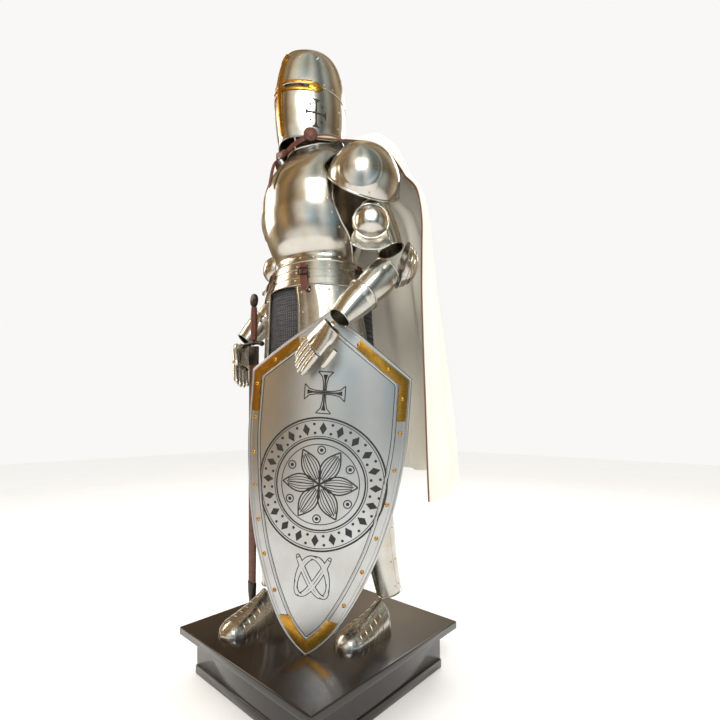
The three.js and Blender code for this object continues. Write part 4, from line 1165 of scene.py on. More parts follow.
def foot_grid(leg):
    heel, toe = np.asarray(leg["heel"], float), np.asarray(leg["toe"], float)
    length = np.linalg.norm(toe - heel)
    along = (toe - heel) / length
    across = np.array([-along[1], along[0], 0])
    edges = (0.47, 0.55, 0.63, 0.71, 0.79, 0.87)
    at = stations(FOOT["at"][0], 1, 50, edges)
    out = lames(at, edges, 1.8, rising=True) * (at < 0.93)
    half, height = through(FOOT["at"], FOOT["half"],
                           at) + out, through(FOOT["at"], FOOT["height"], at) + out
    angle = np.linspace(0, np.pi, 48)
    ridge = 1 + 0.05 * np.sin(angle) ** 24
    centre = heel + along * (at * length)[:, None]
    rise = SOLE_GAP + height[:, None] * np.sin(angle) ** 0.8 * ridge
    return centre[:,
                  None] + across * (half[:, None]
                                    * np.cos(angle))[...,
                                                     None] + np.array([0, 0, 1.0]) * rise[..., None]


def build_leg(leg):
    size, steel = sizes(), FINISHES["steel"]
    name, studs, side = leg["name"], [], (1, 0, 0)
    hip, knee, ankle = (np.asarray(leg[n], float) for n in ("hip", "knee", "ankle"))
    front = -math.pi / 2
    for piece, grid in (
            ("cuisse", limb(hip, knee, side, CUISSE, 50, 88, (0.74, 0.8), size["lame_step"], True,
                            0.03, -front)),
            ("greave", limb(knee, ankle, side, GREAVE, 50, 88, (0.18,), size["lame_step"], False,
                            0.05, -front))):
        plate(f"{piece}_{name}", grid, [(grid[0], 2.6), (grid[-1], 2.4)], seams=(0, 44))
        studs += spots_on(grid, grid.mean((0, 1)), [0.12, 0.4, 0.68, 0.92],
                          [0.03, 0.47, 0.53, 0.97], wrap=True)
    grid = cap(knee, (68, 76, 70), (0, -1, 0), (0, 0, 1), 88, 50, 96, (0.5, 0.74),
               size["lame_step"])
    away = unit(grid - knee)
    ridge = np.exp(-(away[..., 0] / 0.09) ** 2) * np.clip(-away[..., 1], 0, 1)
    grid = grid + away * (3.0 * ridge)[..., None]
    plate("poleyn_" + name, grid, [(grid[-1], 2.6)], knee)
    studs += spots_on(grid, knee, [0.86], np.linspace(0, 0.9, 10), wrap=True)
    grid = foot_grid(leg)
    parts = [(shell(grid, size["plate"], inside=knee * (1, 1, 0)), steel),
             (tube(grid[0], 2.2, 8), steel)]
    assemble("sabaton_" + name, parts, ("sabaton_" + name,), crease=26)
    studs += spots_on(grid,
                      np.asarray(leg["heel"], float) * 0.5 + np.asarray(leg["toe"], float) * 0.5,
                      [0.2, 0.38, 0.56, 0.74], [0.12, 0.88])
    scatter("leg_rivets_" + name, dome, studs, size["rivet"] * 0.85, steel)


# ------------------------------------------------------------------ mantle
# Rows from the collar to the hem: the left front edge, the middle of the back, and how boxed,
# how raised over the shoulder and how deeply folded the row is.
MANTLE = {
    "edge_x": [63, 112, 174, 211, 236, 260, 310, 332, 332, 334, 336, 337, 338],
    "edge_y": [-90, -56, -26, 2, 46, 100, 98, 90, 88, 92, 100, 108, 116],
    "edge_z": [1500, 1487, 1468, 1460, 1444, 1390, 1322, 1200, 1050, 890, 720, 560, 420],
    "back_x": [-20, -15, -5, 0, 0, 0, 0, 0, 0, 0, 0, 0, 0],
    "back_y": [108, 130, 150, 166, 178, 186, 192, 204, 236, 280, 326, 362, 384],
    "back_z": [1546, 1540, 1510, 1466, 1410, 1350, 1290, 1190, 1050, 890, 720, 570, 478],
    "mid": [-20, -8, 0, 0, 0, 0, 0, 0, 0, 0, 0, 0, 0],
    "square": [0.6, 0.7, 0.85, 0.85, 0.8, 0.7, 0.6, 0.55, 0.55, 0.55, 0.55, 0.55, 0.55],
    "puff": [0, 16, 40, 58, 60, 42, 16, 0, 0, 0, 0, 0, 0],
    "fold": [0, 0, 1, 2, 3, 4, 5, 8, 12, 15, 18, 20, 22],
    "neck": [1, 0.25, 0, 0, 0, 0, 0, 0, 0, 0, 0, 0, 0],
}
MANTLE_ROWS, MANTLE_COLUMNS = 13, 241
MANTLE_FOLD_TURNS = 9
COLLAR_RADIUS = 108
BOSS_ANGLE, RIGHT_BOSS_ANGLE = 48, -72
CLOTH_THICKNESS = 2.2
STRAP_FALL = {"x": [-16, -16, -15, -13, -12, -12], "y": [-140, -147, -164, -177, -186, -189],
              "z": [1450, 1441, 1425, 1395, 1355, 1335]}


def mantle_grid():
    row = np.linspace(0, MANTLE_ROWS - 1, 130)
    keys = np.arange(MANTLE_ROWS)
    value = {name: through(keys, column, row)[:, None] for name, column in MANTLE.items()}
    turn = np.radians(np.linspace(-90, 90, MANTLE_COLUMNS))[None]
    sine, cosine = np.sin(turn), np.clip(np.cos(turn), 0, 1)
    spread = np.sign(sine) * np.abs(sine) ** value["square"]
    depth = cosine ** value["square"]
    ease = np.minimum(1, 4 * cosine)
    fold = value["fold"]
    ripple = fold * np.cos(turn * 2 * MANTLE_FOLD_TURNS) * ease
    # Softer folds of uneven width ride on the even ones and wander as they fall.
    wander = 0.12 * np.sin(row[:, None] * 0.9)
    ripple = ripple * (0.8 + 0.2
                       * np.sin(turn * 5 + 1)) + 0.22 * fold * np.sin(turn * 31 + wander * 6) * ease
    creases = 1.3 * smoothstep(1, 4, row[:, None]) * np.sin(turn * 23 + row[:, None] * 0.8) * ease
    ripple = ripple + creases
    centre = value["mid"] + (value["back_x"] - value["mid"]) * cosine
    x = centre + (value["edge_x"] - value["mid"]) * spread + ripple * sine
    y = value["edge_y"] + (value["back_y"] - value["edge_y"]) * depth + ripple * cosine
    z = (value["edge_z"] + (value["back_z"] - value["edge_z"]) * cosine
         + value["puff"] * np.sin(np.pi * np.minimum(1, cosine * 1.35)))
    round_neck = np.where(turn < 0,
                          np.radians(-180 + (RIGHT_BOSS_ANGLE + 180) * -turn / (np.pi / 2)),
                          np.radians(180 + (BOSS_ANGLE - 180) * turn / (np.pi / 2)))
    collar = np.stack(np.broadcast_arrays(
        HELM_X + COLLAR_RADIUS * np.sin(round_neck), HELM_Y - COLLAR_RADIUS * np.cos(round_neck),
        z), -1)
    point = np.stack(np.broadcast_arrays(x, y, z), -1)
    return point + (collar - point) * value["neck"][..., None]


def neck_point(angle, lift, rise=0.0):
    share = min(1, abs(angle) / BOSS_ANGLE)
    radius = 104 + (COLLAR_RADIUS + 2 - 104) * share + lift
    turn = math.radians(angle)
    return np.array([HELM_X + radius * math.sin(turn), HELM_Y - radius * math.cos(turn),
                     1464 + 36 * share + rise])


def neck_facing(angle):
    return np.array([math.sin(math.radians(angle)), -math.cos(math.radians(angle)), 0.0])


def build_mantle():
    cloth, leather = FINISHES["cloth"], FINISHES["leather"]
    grid = mantle_grid()
    inside = (0, 40, 1000)
    mantle = assemble("mantle", [(shell(grid, CLOTH_THICKNESS, inside=inside), cloth)],
                      ("mantle",), crease=60)
    facing = grid_facing(grid, inside)
    parts = []
    for column in (0, -1):
        edge = grid[2:, column] + facing[2:, column] * 0.6
        parts.append((tube(edge, 4.2, 8, flat=0.6), FINISHES["braid"]))
    neck = grid[0] + facing[0] * 0.4
    parts.append((tube(neck, 3.0, 8), FINISHES["braid"]))
    braid = assemble("mantle_braid", parts)
    hem = assemble("mantle_hem", [(tube(grid[-1], 2.2, 6), cloth)])

    angles = np.linspace(RIGHT_BOSS_ANGLE + 4, BOSS_ANGLE, 60)
    line = [neck_point(a, 2.0) for a in angles]
    parts = [strap(line, [neck_facing(a) for a in angles], 8, 3.0, leather)]
    share = np.linspace(0, 5, 40)
    fall = np.stack([through(range(6), STRAP_FALL[n], share) for n in "xyz"], -1)
    width = 7 * np.minimum(1, np.sqrt(np.clip((5 - share) * 1.6 + 0.02, 0, 1)))
    parts.append(strap(fall, np.tile((0.05, -1, 0.25), (40, 1)), width, 3.0, leather))
    assemble("mantle_strap", parts, ("mantle_strap", "mantle_strap_end"))
    parts = []
    for angle, radius, lift, rise in ((0, 12, 4, 0), (BOSS_ANGLE, 20, 6, 0),
                                      (RIGHT_BOSS_ANGLE, 20, 12, 0)):
        profile = [(0, radius * 0.9), (1, radius), (3, radius), (4.2, radius * 0.93),
                   (4.6, radius * 0.72),
                   (5.4, radius * 0.7), (6.6, radius * 0.55), (7.6, radius * 0.3), (8, 0)]
        parts.append((lathe(profile, neck_point(angle, lift, rise), neck_facing(angle), 40),
                      leather))
    assemble("mantle_bosses", parts,
             ("mantle_boss_middle", "mantle_boss_left", "mantle_boss_right"))


# ------------------------------------------------------------------ shield
SHIELD = {"height": [0, 22, 72, 130, 200, 309, 462, 640, 790],
          "half": [0, 30, 76, 110, 143, 183, 217, 233, 232]}
SHIELD_HEIGHT, SHIELD_HALF, SHIELD_SHOULDER, SHIELD_BULGE, SHIELD_THICKNESS = 957, 232, 790, 50, 4
SHIELD_TURN, SHIELD_LEAN = math.radians(33.5), math.radians(4.4)
SHIELD_TIP = (107, -154)
BORDER = 36
ROUNDEL_MIDDLE, ROUNDEL_RINGS = (4.0, 478.0), ((186, 2.6), (179, 1.1), (134, 1.1), (128, 2.2))
LOZENGES, LOZENGE_PLACE, BEAD_PLACES = 20, 156.5, (144, 169)
PETALS, PETAL_LENGTH, PETAL_SWELL = 6, 108, 25
CROSS_MIDDLE, CROSS_CORNERS = (0.0, 734.0), [(4, 4), (5, 26), (9, 44), (22, 58)]
KNOT_MIDDLE, KNOT_WIDTH, KNOT_HEIGHT = (4, 219), 46, 54
MOUNT_LIFT = 2.2


def shield_point(place, lift=0.0):
    """A point of the shield's flat pattern, (across, height), on its curved face."""
    across, height = place[..., 0], place[..., 1]
    radius = SHIELD_HALF ** 2 / (2 * SHIELD_BULGE)
    side = across * math.cos(SHIELD_LEAN) + height * math.sin(SHIELD_LEAN)
    up = height * math.cos(SHIELD_LEAN) - across * math.sin(SHIELD_LEAN)
    out = lift - across ** 2 / (2 * radius)
    return np.stack([SHIELD_TIP[0] + side * math.cos(SHIELD_TURN) + out * math.sin(SHIELD_TURN),
                     SHIELD_TIP[1] + side * math.sin(SHIELD_TURN) - out * math.cos(SHIELD_TURN),
                     SOLE_GAP + up], -1)


def shield_outline():
    """The shield's outline on its flat pattern, from the tip up the left side and round."""
    height = np.concatenate([np.linspace(0.5, 60, 18), np.linspace(66, SHIELD_SHOULDER, 90)])
    side = np.stack([through(SHIELD["height"], SHIELD["half"], height), height], -1)
    top = spaced([(SHIELD_HALF, SHIELD_SHOULDER), (0, SHIELD_HEIGHT)], 8)[1:]
    right = np.concatenate([[[0, 0]], side, top])
    return np.concatenate([right, right[-2:0:-1] * (-1, 1)])


def inset_line(line, inset):
    """The closed line moved inwards by the inset; points that would cross are dropped."""
    moved_line = []
    count = len(line)
    ahead = unit(np.roll(line, -1, 0) - np.roll(line, 1, 0))
    normal = np.stack([-ahead[:, 1], ahead[:, 0]], -1)
    for i in range(count):
        candidate = line[i] + normal[i] * inset
        if np.min(np.linalg.norm(line - candidate, axis=1)) > inset * 0.985:
            moved_line.append(candidate)
    return np.array(moved_line)


def ring_line(centre, radius, count=180):
    angle = np.linspace(0, 2 * np.pi, count, endpoint=False)
    return np.asarray(centre, float) + radius * np.stack([np.cos(angle), np.sin(angle)], -1)


def knot_line(centre, width, height, count=900):
    """An endless plait knot: one strand that crosses itself, with the height of each crossing."""
    t = np.linspace(0, 2 * np.pi, count, endpoint=False)
    line = np.asarray(centre,
                      float) + np.stack([width * np.sin(3 * t + 0.5), height * np.sin(4 * t)], -1)
    ahead = np.roll(line, -1, 0) - line
    crossings = []
    for i in range(count):
        j = np.arange(i + 2, count - (i == 0))
        if not len(j):
            continue
        r, s, q = ahead[i], ahead[j], line[j] - line[i]
        det = r[0] * s[:, 1] - r[1] * s[:, 0]
        det = np.where(np.abs(det) < 1e-12, 1e-12, det)
        u, v = (q[:, 0] * s[:, 1] - q[:, 1] * s[:, 0]) / det, (q[:, 0] * r[1] - q[:, 1]
                                                               * r[0]) / det
        for hit in j[(u >= 0) & (u < 1) & (v >= 0) & (v < 1)]:
            crossings += [i, int(hit)]
    lift = np.zeros(count)
    for order, place in enumerate(sorted(crossings)):
        gap = np.abs((np.arange(count) - place + count / 2) % count - count / 2)
        lift += (1 if order % 2 else -1) * np.exp(-(gap / 11.0) ** 2)
    return line, lift


def build_shield():
    steel, brass, etched = FINISHES["shield"], FINISHES["brass"], FINISHES["etched"]
    behind = shield_point(np.array([0.0, SHIELD_HEIGHT / 2]), -400)
    outline = shield_outline()
    height = np.concatenate([np.linspace(0, 60, 16), np.linspace(70, SHIELD_SHOULDER, 60)])
    half = through(SHIELD["height"], SHIELD["half"], height)
    share = np.linspace(-1, 1, 61)
    flat = np.stack(np.broadcast_arrays(half[:, None] * share, height[:, None]), -1)
    rise = np.linspace(0, 1, 14)[1:, None]
    top = np.stack(np.broadcast_arrays(SHIELD_HALF * share,
                                       SHIELD_SHOULDER + rise * (SHIELD_HEIGHT - SHIELD_SHOULDER)
                                       * (1 - np.abs(share))), -1)
    face = shield_point(np.concatenate([flat, top]))
    parts = [(shell(face, SHIELD_THICKNESS, inside=behind), steel),
             (tube(shield_point(outline, -SHIELD_THICKNESS / 2), 4.2, 10, closed=True), steel)]
    border = inset_line(outline, BORDER)
    parts.append((ribbon(shield_point, border, 2.2, 0.6, 1.2, 1.0, closed=True, inside=behind),
                  steel))
    parts.append((ribbon(shield_point, inset_line(outline, 9), 2.0, 0.5, 1.2, 0.8, closed=True,
                         inside=behind), steel))
    assemble("shield_plate", parts, ("shield_plate",))

    lines = [(ribbon(shield_point, border_line, 0.9, 0.3, 0.4, across=3, closed=True,
                     inside=behind), etched)
             for border_line in (inset_line(outline, BORDER + 5), inset_line(outline, BORDER - 5))]

    def etch(path, width, closed=False):
        lines.append((ribbon(shield_point, path, width, 0.3, 0.4, across=3, closed=closed,
                             inside=behind), etched))

    # A cross with widening arms near the top.
    centre = np.array(CROSS_MIDDLE)
    outline_points = []
    for quarter in range(4):
        a = math.radians(90 * quarter)
        c, s = math.cos(a), math.sin(a)
        arm_points = CROSS_CORNERS + [(-x, y) for x, y in CROSS_CORNERS[::-1]]
        outline_points += [centre + (c * x - s * y, s * x + c * y) for x, y in arm_points]
    etch(spaced(outline_points, 4, closed=True), 1.5, closed=True)
    for quarter in range(4):
        a = math.radians(90 * quarter)
        run = np.linspace(0, 50, 18)
        etch(centre + run[:, None] * np.array([-math.sin(a), math.cos(a)]),
             through([0, 30, 50], [2.4, 2.4, 6.5], run))

    # The roundel: two pairs of rings with lozenges and beads between, round a six-petalled rose.
    middle = np.array(ROUNDEL_MIDDLE)
    for radius, width in ROUNDEL_RINGS:
        etch(ring_line(middle, radius), width, closed=True)
    for i in range(LOZENGES):
        a = 2 * math.pi * i / LOZENGES
        out = np.array([math.sin(a), math.cos(a)])
        run = np.linspace(-17, 17, 9)
        etch(middle + out * LOZENGE_PLACE + out * run[:, None],
             10.5 * (1 - np.abs(run) / 17.2) + 0.1)
        b = a + math.pi / LOZENGES
        out = np.array([math.sin(b), math.cos(b)])
        run = np.linspace(-5, 5, 7)
        for place in BEAD_PLACES:
            etch(middle + out * place + out * run[:, None] * 0.8,
                 np.sqrt(np.clip(16.5 - (run * 0.8) ** 2, 0.05, None)))
    for i in range(PETALS):
        a = math.radians(60 * i + 30)
        out = np.array([math.sin(a), math.cos(a)])
        side = np.array([out[1], -out[0]])
        run = np.linspace(0, 1, 40)
        for hand in (-1, 1):
            etch(middle + out * (PETAL_LENGTH * run)[:, None] + side
                 * (hand * PETAL_SWELL * np.sin(np.pi * run))[:, None], 2.1)
            for depth in (0.66, 0.36):
                inner = 0.14 + 0.72 * run
                etch(middle + out * (PETAL_LENGTH * inner)[:, None] + side
                     * (hand * PETAL_SWELL * depth * np.sin(np.pi * inner))[:, None], 1.2)
        etch(middle + out * np.linspace(14, 96, 30)[:, None], 1.7)
        between = math.radians(60 * i)
        tip = np.array([math.sin(between), math.cos(between)])
        etch(ring_line(middle + tip * 96, 11, 40), 1.6, closed=True)
        etch(middle + tip * np.linspace(91, 101, 7)[:, None],
             np.sqrt(np.clip(26 - np.linspace(-5, 5, 7) ** 2, 0.05, None)))
    etch(ring_line(middle, 112), 1.3, closed=True)
    assemble("shield_etching", lines)

    knot, lift = knot_line(KNOT_MIDDLE, KNOT_WIDTH, KNOT_HEIGHT)
    strand = [(ribbon(shield_point, knot, 5.6, (0.5 + 0.35 * lift)[:, None] * np.ones(5), 0.5,
                      closed=True, inside=behind), etched),
              (ribbon(shield_point, knot, 3.1, (0.85 + 0.35 * lift)[:, None] * np.ones(5), 0.5,
                      closed=True, inside=behind), steel)]
    assemble("shield_knot", strand)

    def rim_band(inner, outer, lift, across=9):
        """A mount between two lines of the flat pattern."""
        t = np.linspace(0, 1, across)[None, :, None]
        flat = inner[:, None] * (1 - t) + outer[:, None] * t
        crown = 0.8 * np.sin(np.pi * t[0, :, 0])
        return shell(shield_point(flat, lift + crown[None]), 1.5, inside=behind)

    for hand in (-1, 1):
        run = np.linspace(0, 1, 60)
        outer_line = np.array([(88 + (226 - 88) * min(1, r / 0.55), 0) for r in run])
        outer_line[:, 1] = SHIELD_HEIGHT - (SHIELD_HEIGHT
                                            - SHIELD_SHOULDER) * outer_line[:, 0] / SHIELD_HALF - 7
        late = run > 0.55
        outer_line[late, 0] = 227.5
        outer_line[late, 1] = outer_line[~late][-1, 1] - (run[late] - 0.55) / 0.45 * 118
        inner_line = outer_line.copy()
        inner_line[:, 0] -= through([0, 0.5, 0.6, 1], [8, 22, 27, 26], run)
        inner_line[:, 1] -= through([0, 0.3, 0.55, 0.8, 1], [27, 24, 17, 4, 2], run)
        scallop = 3.5 * np.abs(np.sin(run * np.pi * 6))
        inner_line[:, 0] += scallop * (run > 0.5)
        inner_line[:, 1] += scallop * (run <= 0.5)
        band = rim_band(inner_line * (hand, 1), outer_line * (hand, 1), MOUNT_LIFT)
        name = "shield_mount_left" if hand > 0 else "shield_mount_right"
        assemble(name, [(band, brass)], (name,))
    share = np.linspace(-1, 1, 61)
    height = 6 + 92 * np.abs(share)
    outer_line = np.stack([np.sign(share) * (through(SHIELD["height"], SHIELD["half"], height) - 7)
                           * (np.abs(share) > 0.02), height], -1)
    inner_line = outer_line * (0.62,
                               1) + np.stack([np.zeros(61), 34 - 30 * np.abs(share) + 3
                                              * np.abs(np.sin(share * np.pi * 4))], -1)
    tip = rim_band(inner_line, outer_line, MOUNT_LIFT)
    assemble("shield_mount_tip", [(tip, brass)], ("shield_mount_tip",))

    spots = []
    mid_border = inset_line(outline, BORDER / 2 + 1)
    lengths = np.concatenate([[0], np.cumsum(np.linalg.norm(np.diff(mid_border, axis=0), axis=1))])
    for place in np.arange(60, lengths[-1], 100):
        i = int(np.searchsorted(lengths, place))
        spot = mid_border[min(i, len(mid_border) - 1)]
        base, out = shield_point(spot, 0.4), shield_point(spot, 12.0) - shield_point(spot, 0.0)
        if spot[1] > 110:
            spots.append((base + unit(out) * (1.8 if spot[1] > 690 and abs(spot[0]) > 90 else 0),
                          out))
    scatter("shield_rivets", dome, spots, 6.2, brass)


# ------------------------------------------------------------------ sword
SWORD_TIP, SWORD_HILT, GUARD_HEIGHT, GRIP_LENGTH = (-255, -86), (-212, -107), 910, 110


def build_sword():
    leather, iron = FINISHES["leather"], FINISHES["iron"]
    base = np.array([*SWORD_TIP, SOLE_GAP], float)
    hilt = np.array([*SWORD_HILT, GUARD_HEIGHT], float)
    along = unit(hilt - base)
    side = square_to(np.array([1.0, 0, 0]), along)
    depth = np.cross(along, side)
    turn = np.linspace(0, 2 * np.pi, 32, endpoint=False)

    def oval(run, wide, deep, bow=1.0):
        x, y = np.cos(turn), np.sin(turn)
        x, y = np.sign(x) * np.abs(x) ** bow, np.sign(y) * np.abs(y) ** bow
        return (base + along * np.asarray(run, float)[:, None, None] + side
                * (np.asarray(wide, float)[:, None] * x)[..., None]
                + depth * (np.asarray(deep, float)[:, None] * y)[..., None])

    def closed_bar(grid):
        return grid.reshape(-1, 3), ring_faces(*grid.shape[:2])

    length = GUARD_HEIGHT - 6
    run = np.linspace(0, length, 70)
    body = closed_bar(oval(run, through([0, 60, length], [8, 19, 24], run),
                           through([0, 60, length], [4, 6, 7], run), 0.8))
    run = np.array([0, 1, 60, 92, 96, 97])
    chape = closed_bar(oval(run, [7, 9.5, 20.4, 21.8, 21.8, 20], [4, 5, 7.2, 7.6, 7.6, 7], 0.8))
    run = np.array([length - 62, length - 60, length - 3, length])
    locket = closed_bar(oval(run, [23.5, 25.6, 25.9, 25], [7, 8.2, 8.4, 8], 0.8))
    assemble("sword_scabbard", [(body, leather), (chape, iron), (locket, iron)],
             ("sword_scabbard",))
    quillon = np.linspace(-1, 1, 41)
    guard_at = length + 13
    path = np.array([base + side * q * 46 + along * (guard_at - 6 * q * q) for q in quillon])
    thick = 5.2 + 2.2 * np.abs(quillon) ** 6 + 1.6 * (1 - np.abs(quillon)) ** 3
    knobs = [lathe([(0, 3), (2, 6.4), (5, 7.6), (8, 6.2), (9.5, 2), (9.8, 0)],
                   base + side * s * 44 + along * (guard_at - 6), side * s, 20) for s in (-1, 1)]
    assemble("sword_guard", [(tube(path, thick, 12, flat=1.2, up=along), iron)]
             + [(k, iron) for k in knobs], ("sword_guard",))
    start = length + 21
    run = np.linspace(start, start + GRIP_LENGTH, 90)
    wrap = 0.7 * np.abs(np.sin((run - start) / GRIP_LENGTH * math.pi * 17))
    grip = closed_bar(oval(run,
                           through([start, start + GRIP_LENGTH / 2, start + GRIP_LENGTH],
                                   [11, 13, 10.5], run) - 0.8 + wrap,
                           through([start, start + GRIP_LENGTH / 2, start + GRIP_LENGTH],
                                   [10, 11.5, 9.5], run) - 0.8 + wrap))
    assemble("sword_grip", [(grip, leather)], ("sword_grip",))
    centre = base + along * (start + GRIP_LENGTH + 22.3)
    wheel = [(-9, 0), (-9, 12), (-7.5, 15), (-6, 20), (-3, 21.8), (3, 21.8), (6, 20), (7.5, 15),
             (9, 12), (9, 0)]
    wheel_axis = unit(depth + side * 0.2)
    assemble("sword_pommel", [(lathe([(x, r) for x, r in wheel], centre, wheel_axis, 40), iron)],
             ("sword_pommel",))


# ------------------------------------------------------------------ box
STAND_SIDE, STAND_HEIGHT, BOARD, OVERHANG = 630, 150, 24, 35


def build_box():
    lacquer = FINISHES["lacquer"]
    half, inner = STAND_SIDE / 2, STAND_SIDE / 2 - OVERHANG
    board = plinth_block(half, half, -BOARD, 0, 3)
    assemble("stand_board", [(board, lacquer)], ("stand_board",), crease=50)
    body = plinth_block(inner - 4, inner - 4, -STAND_HEIGHT + 1, -BOARD - 0.3, 1.5)
    cove = plinth_block(inner + 6, inner + 6, -BOARD - 18, -BOARD - 0.3, 5)
    skirting = plinth_block(inner, inner, -STAND_HEIGHT, -STAND_HEIGHT + 30, 4)
    assemble("stand_box", [(body, lacquer), (cove, lacquer), (skirting, lacquer)],
             ("stand_box",), crease=50)


# ------------------------------------------------------------------ stage
CAMERA_PLACE = (1.048, -0.953)
CAMERA_HEIGHT = 0.657
CAMERA_LENS = 21.9
CAMERA_SHIFT = 0.083
CAMERA_FACING = math.atan2(0.7373, -0.6756)
# Radius of the glowing shell that paints reflections on the steel.
REFLECTION_SHELL_RADIUS = 4.2
FLOOR_REACH = 9
# Name, place, power in watts, size and colour of each lamp.
LAMPS = (("key_light", (2.4, -2.6, 3.4), 90, 1.6, "#FFFDF8"),
         ("fill_light", (-2.8, -1.2, 2.6), 45, 1.8, "#FFF3E2"),
         ("back_light", (-0.6, 3.0, 3.2), 40, 1.8, "#FFFFFF"))


def painted_reflection_material():
    """What the steel mirrors: warm brown to one side, pale blue windows to the other."""
    material = bpy.data.materials.new("painted_reflection_glow")
    material.use_nodes = True
    tree = material.node_tree
    tree.nodes.clear()
    place = node(tree, "ShaderNodeTexCoord").outputs["Object"]
    parts = node(tree, "ShaderNodeSeparateXYZ", {"Vector": place})
    turn = node(tree, "ShaderNodeMath", {0: parts.outputs["Y"], 1: parts.outputs["X"]},
                operation="ARCTAN2")
    share = node(tree, "ShaderNodeMapRange",
                 {"Value": turn.outputs[0], "From Min": -math.pi, "From Max": math.pi})
    bands = ramp(tree, share.outputs["Result"], [
        (0.00, "#7E6A52"), (0.07, "#D8C6A4"), (0.12, "#5A4632"), (0.19, "#C9A878"),
        (0.235, "#4A3A2A"),
        (0.27, "#EADFCB"), (0.30, "#FFFFFF"), (0.335, "#BBD6E4"), (0.37, "#5F7480"),
        (0.40, "#F4FAFF"),
        (0.44, "#8FA9B8"), (0.48, "#3E4448"), (0.53, "#C8D6DE"), (0.60, "#6F6252"),
        (0.68, "#D9CBB4"),
        (0.76, "#5B4A3A"), (0.84, "#E4D8C4"), (0.92, "#8A7458"), (1.00, "#7E6A52")])
    height = node(tree, "ShaderNodeMapRange",
                  {"Value": parts.outputs["Z"], "From Min": 0.0, "From Max": 4.5})
    fall = ramp(tree, height.outputs["Result"],
                [(0.0, "#A89C8C"), (0.2, "#E8E2D8"), (0.5, "#FFFFFF"), (0.72, "#B9A27E"),
                 (1.0, "#F2EADA")])
    mixed = node(tree, "ShaderNodeMix", {"Factor": 1.0}, data_type="RGBA", blend_type="MULTIPLY")
    tree.links.new(bands, mixed.inputs[6])
    tree.links.new(fall, mixed.inputs[7])
    glow = node(tree, "ShaderNodeEmission", {"Color": mixed.outputs[2], "Strength": 1.25})
    node(tree, "ShaderNodeOutputMaterial", {"Surface": glow.outputs["Emission"]})
    return material


def stage_mesh(name, points, faces, material):
    mesh = bpy.data.meshes.new(name)
    mesh.from_pydata([tuple(p) for p in points], [], faces)
    mesh.materials.append(material)
    obj = bpy.data.objects.new(name, mesh)
    bpy.context.scene.collection.objects.link(obj)
    return obj


def build_stage():
    scene = bpy.context.scene
    scene.view_settings.view_transform = "Standard"
    world = bpy.data.worlds.new("pale_studio")
    world.use_nodes = True
    world.node_tree.nodes["Background"].inputs["Color"].default_value = linear("#FBFAF8")
    world.node_tree.nodes["Background"].inputs["Strength"].default_value = 0.98
    scene.world = world
    paper, tree, shader, place = start_material("matte_paper_floor", 0.0, 0.9)
    tree.links.new(tint(tree, grain(tree, place, 300), "#FBFAF8", "#F5F4F1"),
                   shader.inputs["Base Color"])
    stage_mesh("floor",
               [(FLOOR_REACH * x, FLOOR_REACH * y, 0) for x,
                y in ((-1, -1), (1, -1), (1, 1), (-1, 1))], [(0, 1, 2, 3)], paper)
    count = 64
    ring = [(REFLECTION_SHELL_RADIUS * math.cos(a), REFLECTION_SHELL_RADIUS * math.sin(a))
            for a in np.linspace(0, 2 * math.pi, count, endpoint=False)]
    points = [(x, y, 0.02) for x, y in ring] + [(x, y, 3.8) for x,
                                                y in ring] + [(0.55 * x, 0.55 * y, 4.4) for x,
                                                              y in ring]
    faces = [(r * count + c, r * count + (c + 1) % count, (r + 1) * count + (c + 1) % count,
              (r + 1) * count + c)
             for r in range(2) for c in range(count)]
    faces.append(tuple(2 * count + c for c in range(count)))
    reflection_shell = stage_mesh("painted_reflection_shell", points, faces, painted_reflection_material())
    # The shell glows with painted reflections: the camera doesn't see it, it shows only in the steel, and it
    # lights nothing matte.
    reflection_shell.visible_camera = reflection_shell.visible_diffuse = reflection_shell.visible_shadow = reflection_shell.visible_transmission = False
    for name, spot, energy, size, colour in LAMPS:
        lamp = bpy.data.lights.new(name, "AREA")
        lamp.energy, lamp.size, lamp.color = energy, size, linear(colour)[:3]
        light = bpy.data.objects.new(name, lamp)
        light.location = spot
        aim = np.array([0, 0, 1.0]) - np.array(spot)
        pitch = math.atan2(math.hypot(aim[0], aim[1]), -aim[2])
        light.rotation_euler = (pitch, 0, math.atan2(aim[1], aim[0]) - math.pi / 2)
        scene.collection.objects.link(light)
    camera = bpy.data.cameras.new("camera")
    camera.lens, camera.sensor_width, camera.shift_y = CAMERA_LENS, 36, CAMERA_SHIFT
    seat = bpy.data.objects.new("camera", camera)
    seat.location = (*CAMERA_PLACE, CAMERA_HEIGHT + BOX_TOP)
    seat.rotation_euler = (math.radians(90), 0, CAMERA_FACING - math.pi / 2)
    scene.collection.objects.link(seat)
    scene.camera = seat


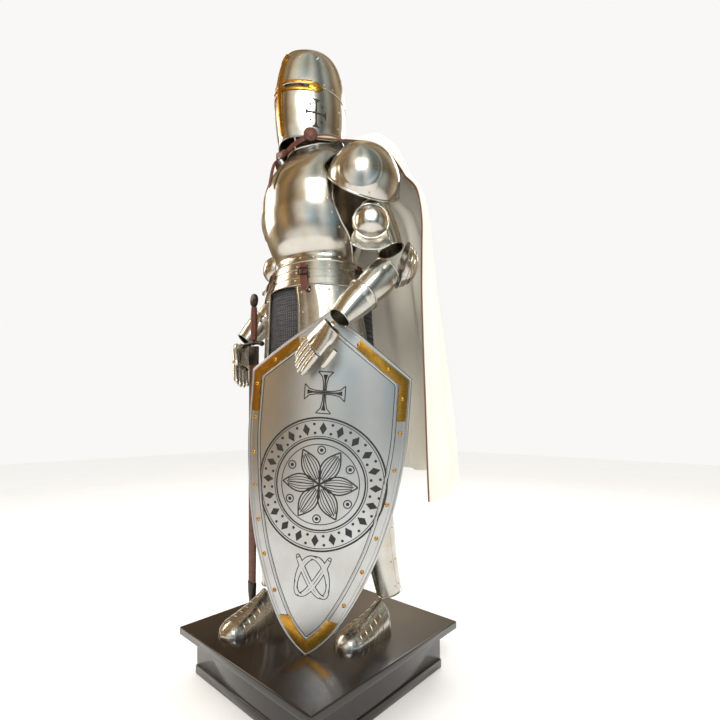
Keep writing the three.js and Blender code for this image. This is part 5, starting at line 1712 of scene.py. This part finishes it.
# ------------------------------------------------------------------ operators
def maker(label, name, text, *builders):
    """An operator that builds one piece or one group of like pieces."""
    def execute(self, context):
        if not FINISHES:
            make_finishes()
        for builder in builders:
            builder()
        return {"FINISHED"}
    return type("ARMOUR_OT_" + name, (bpy.types.Operator,), {
        "bl_idname": "armour." + name, "bl_label": label, "__doc__": text, "execute": execute})


def build_arms():
    for arm in (LEFT_ARM, RIGHT_ARM):
        build_arm(arm)


def build_legs():
    for leg in LEGS:
        build_leg(leg)


OPERATORS = (
    maker("Stage", "stage", "Make the floor, the lights and the camera", build_stage),
    maker("Helm", "helm", "Make the great helm with its brass cross", build_helm),
    maker("Cuirass", "cuirass", "Make the breastplate, backplate, fauld and tassets",
          build_cuirass),
    maker("Mail Skirt", "mail", "Make the skirt of linked rings", build_mail),
    maker("Arms", "arms", "Make the arm defences and gauntlets", build_arms),
    maker("Legs", "legs", "Make the leg defences", build_legs),
    maker("Mantle", "mantle", "Make the white mantle with its strap and bosses", build_mantle),
    maker("Shield", "shield", "Make the shield with its mounts and etching", build_shield),
    maker("Sword", "sword", "Make the sheathed sword", build_sword),
    maker("Box", "box", "Make the box that the suit stands on", build_box),
)


class ARMOUR_PT_panel(bpy.types.Panel):
    """Lists the sizes, the colours and the pieces."""

    bl_idname = "ARMOUR_PT_panel"
    bl_label = "Suit of Plate Armour"
    bl_space_type = "VIEW_3D"
    bl_region_type = "UI"
    bl_category = "Armour"

    def draw(self, context):
        for group in (context.scene.armour_sizes, context.scene.armour_colours):
            for name in type(group).__annotations__:
                self.layout.prop(group, name)
        for operator in OPERATORS:
            self.layout.operator(operator.bl_idname)


CLASSES = (ArmourSizes, ArmourColours, *OPERATORS, ARMOUR_PT_panel)


def register():
    for cls in CLASSES:
        bpy.utils.register_class(cls)
    bpy.types.Scene.armour_sizes = bpy.props.PointerProperty(type=ArmourSizes)
    bpy.types.Scene.armour_colours = bpy.props.PointerProperty(type=ArmourColours)


def unregister():
    del bpy.types.Scene.armour_sizes
    del bpy.types.Scene.armour_colours
    for cls in reversed(CLASSES):
        bpy.utils.unregister_class(cls)


def main():
    register()
    for operator in OPERATORS:
        getattr(bpy.ops.armour, operator.bl_idname.split(".")[1])()


if __name__ == "__main__":
    main()
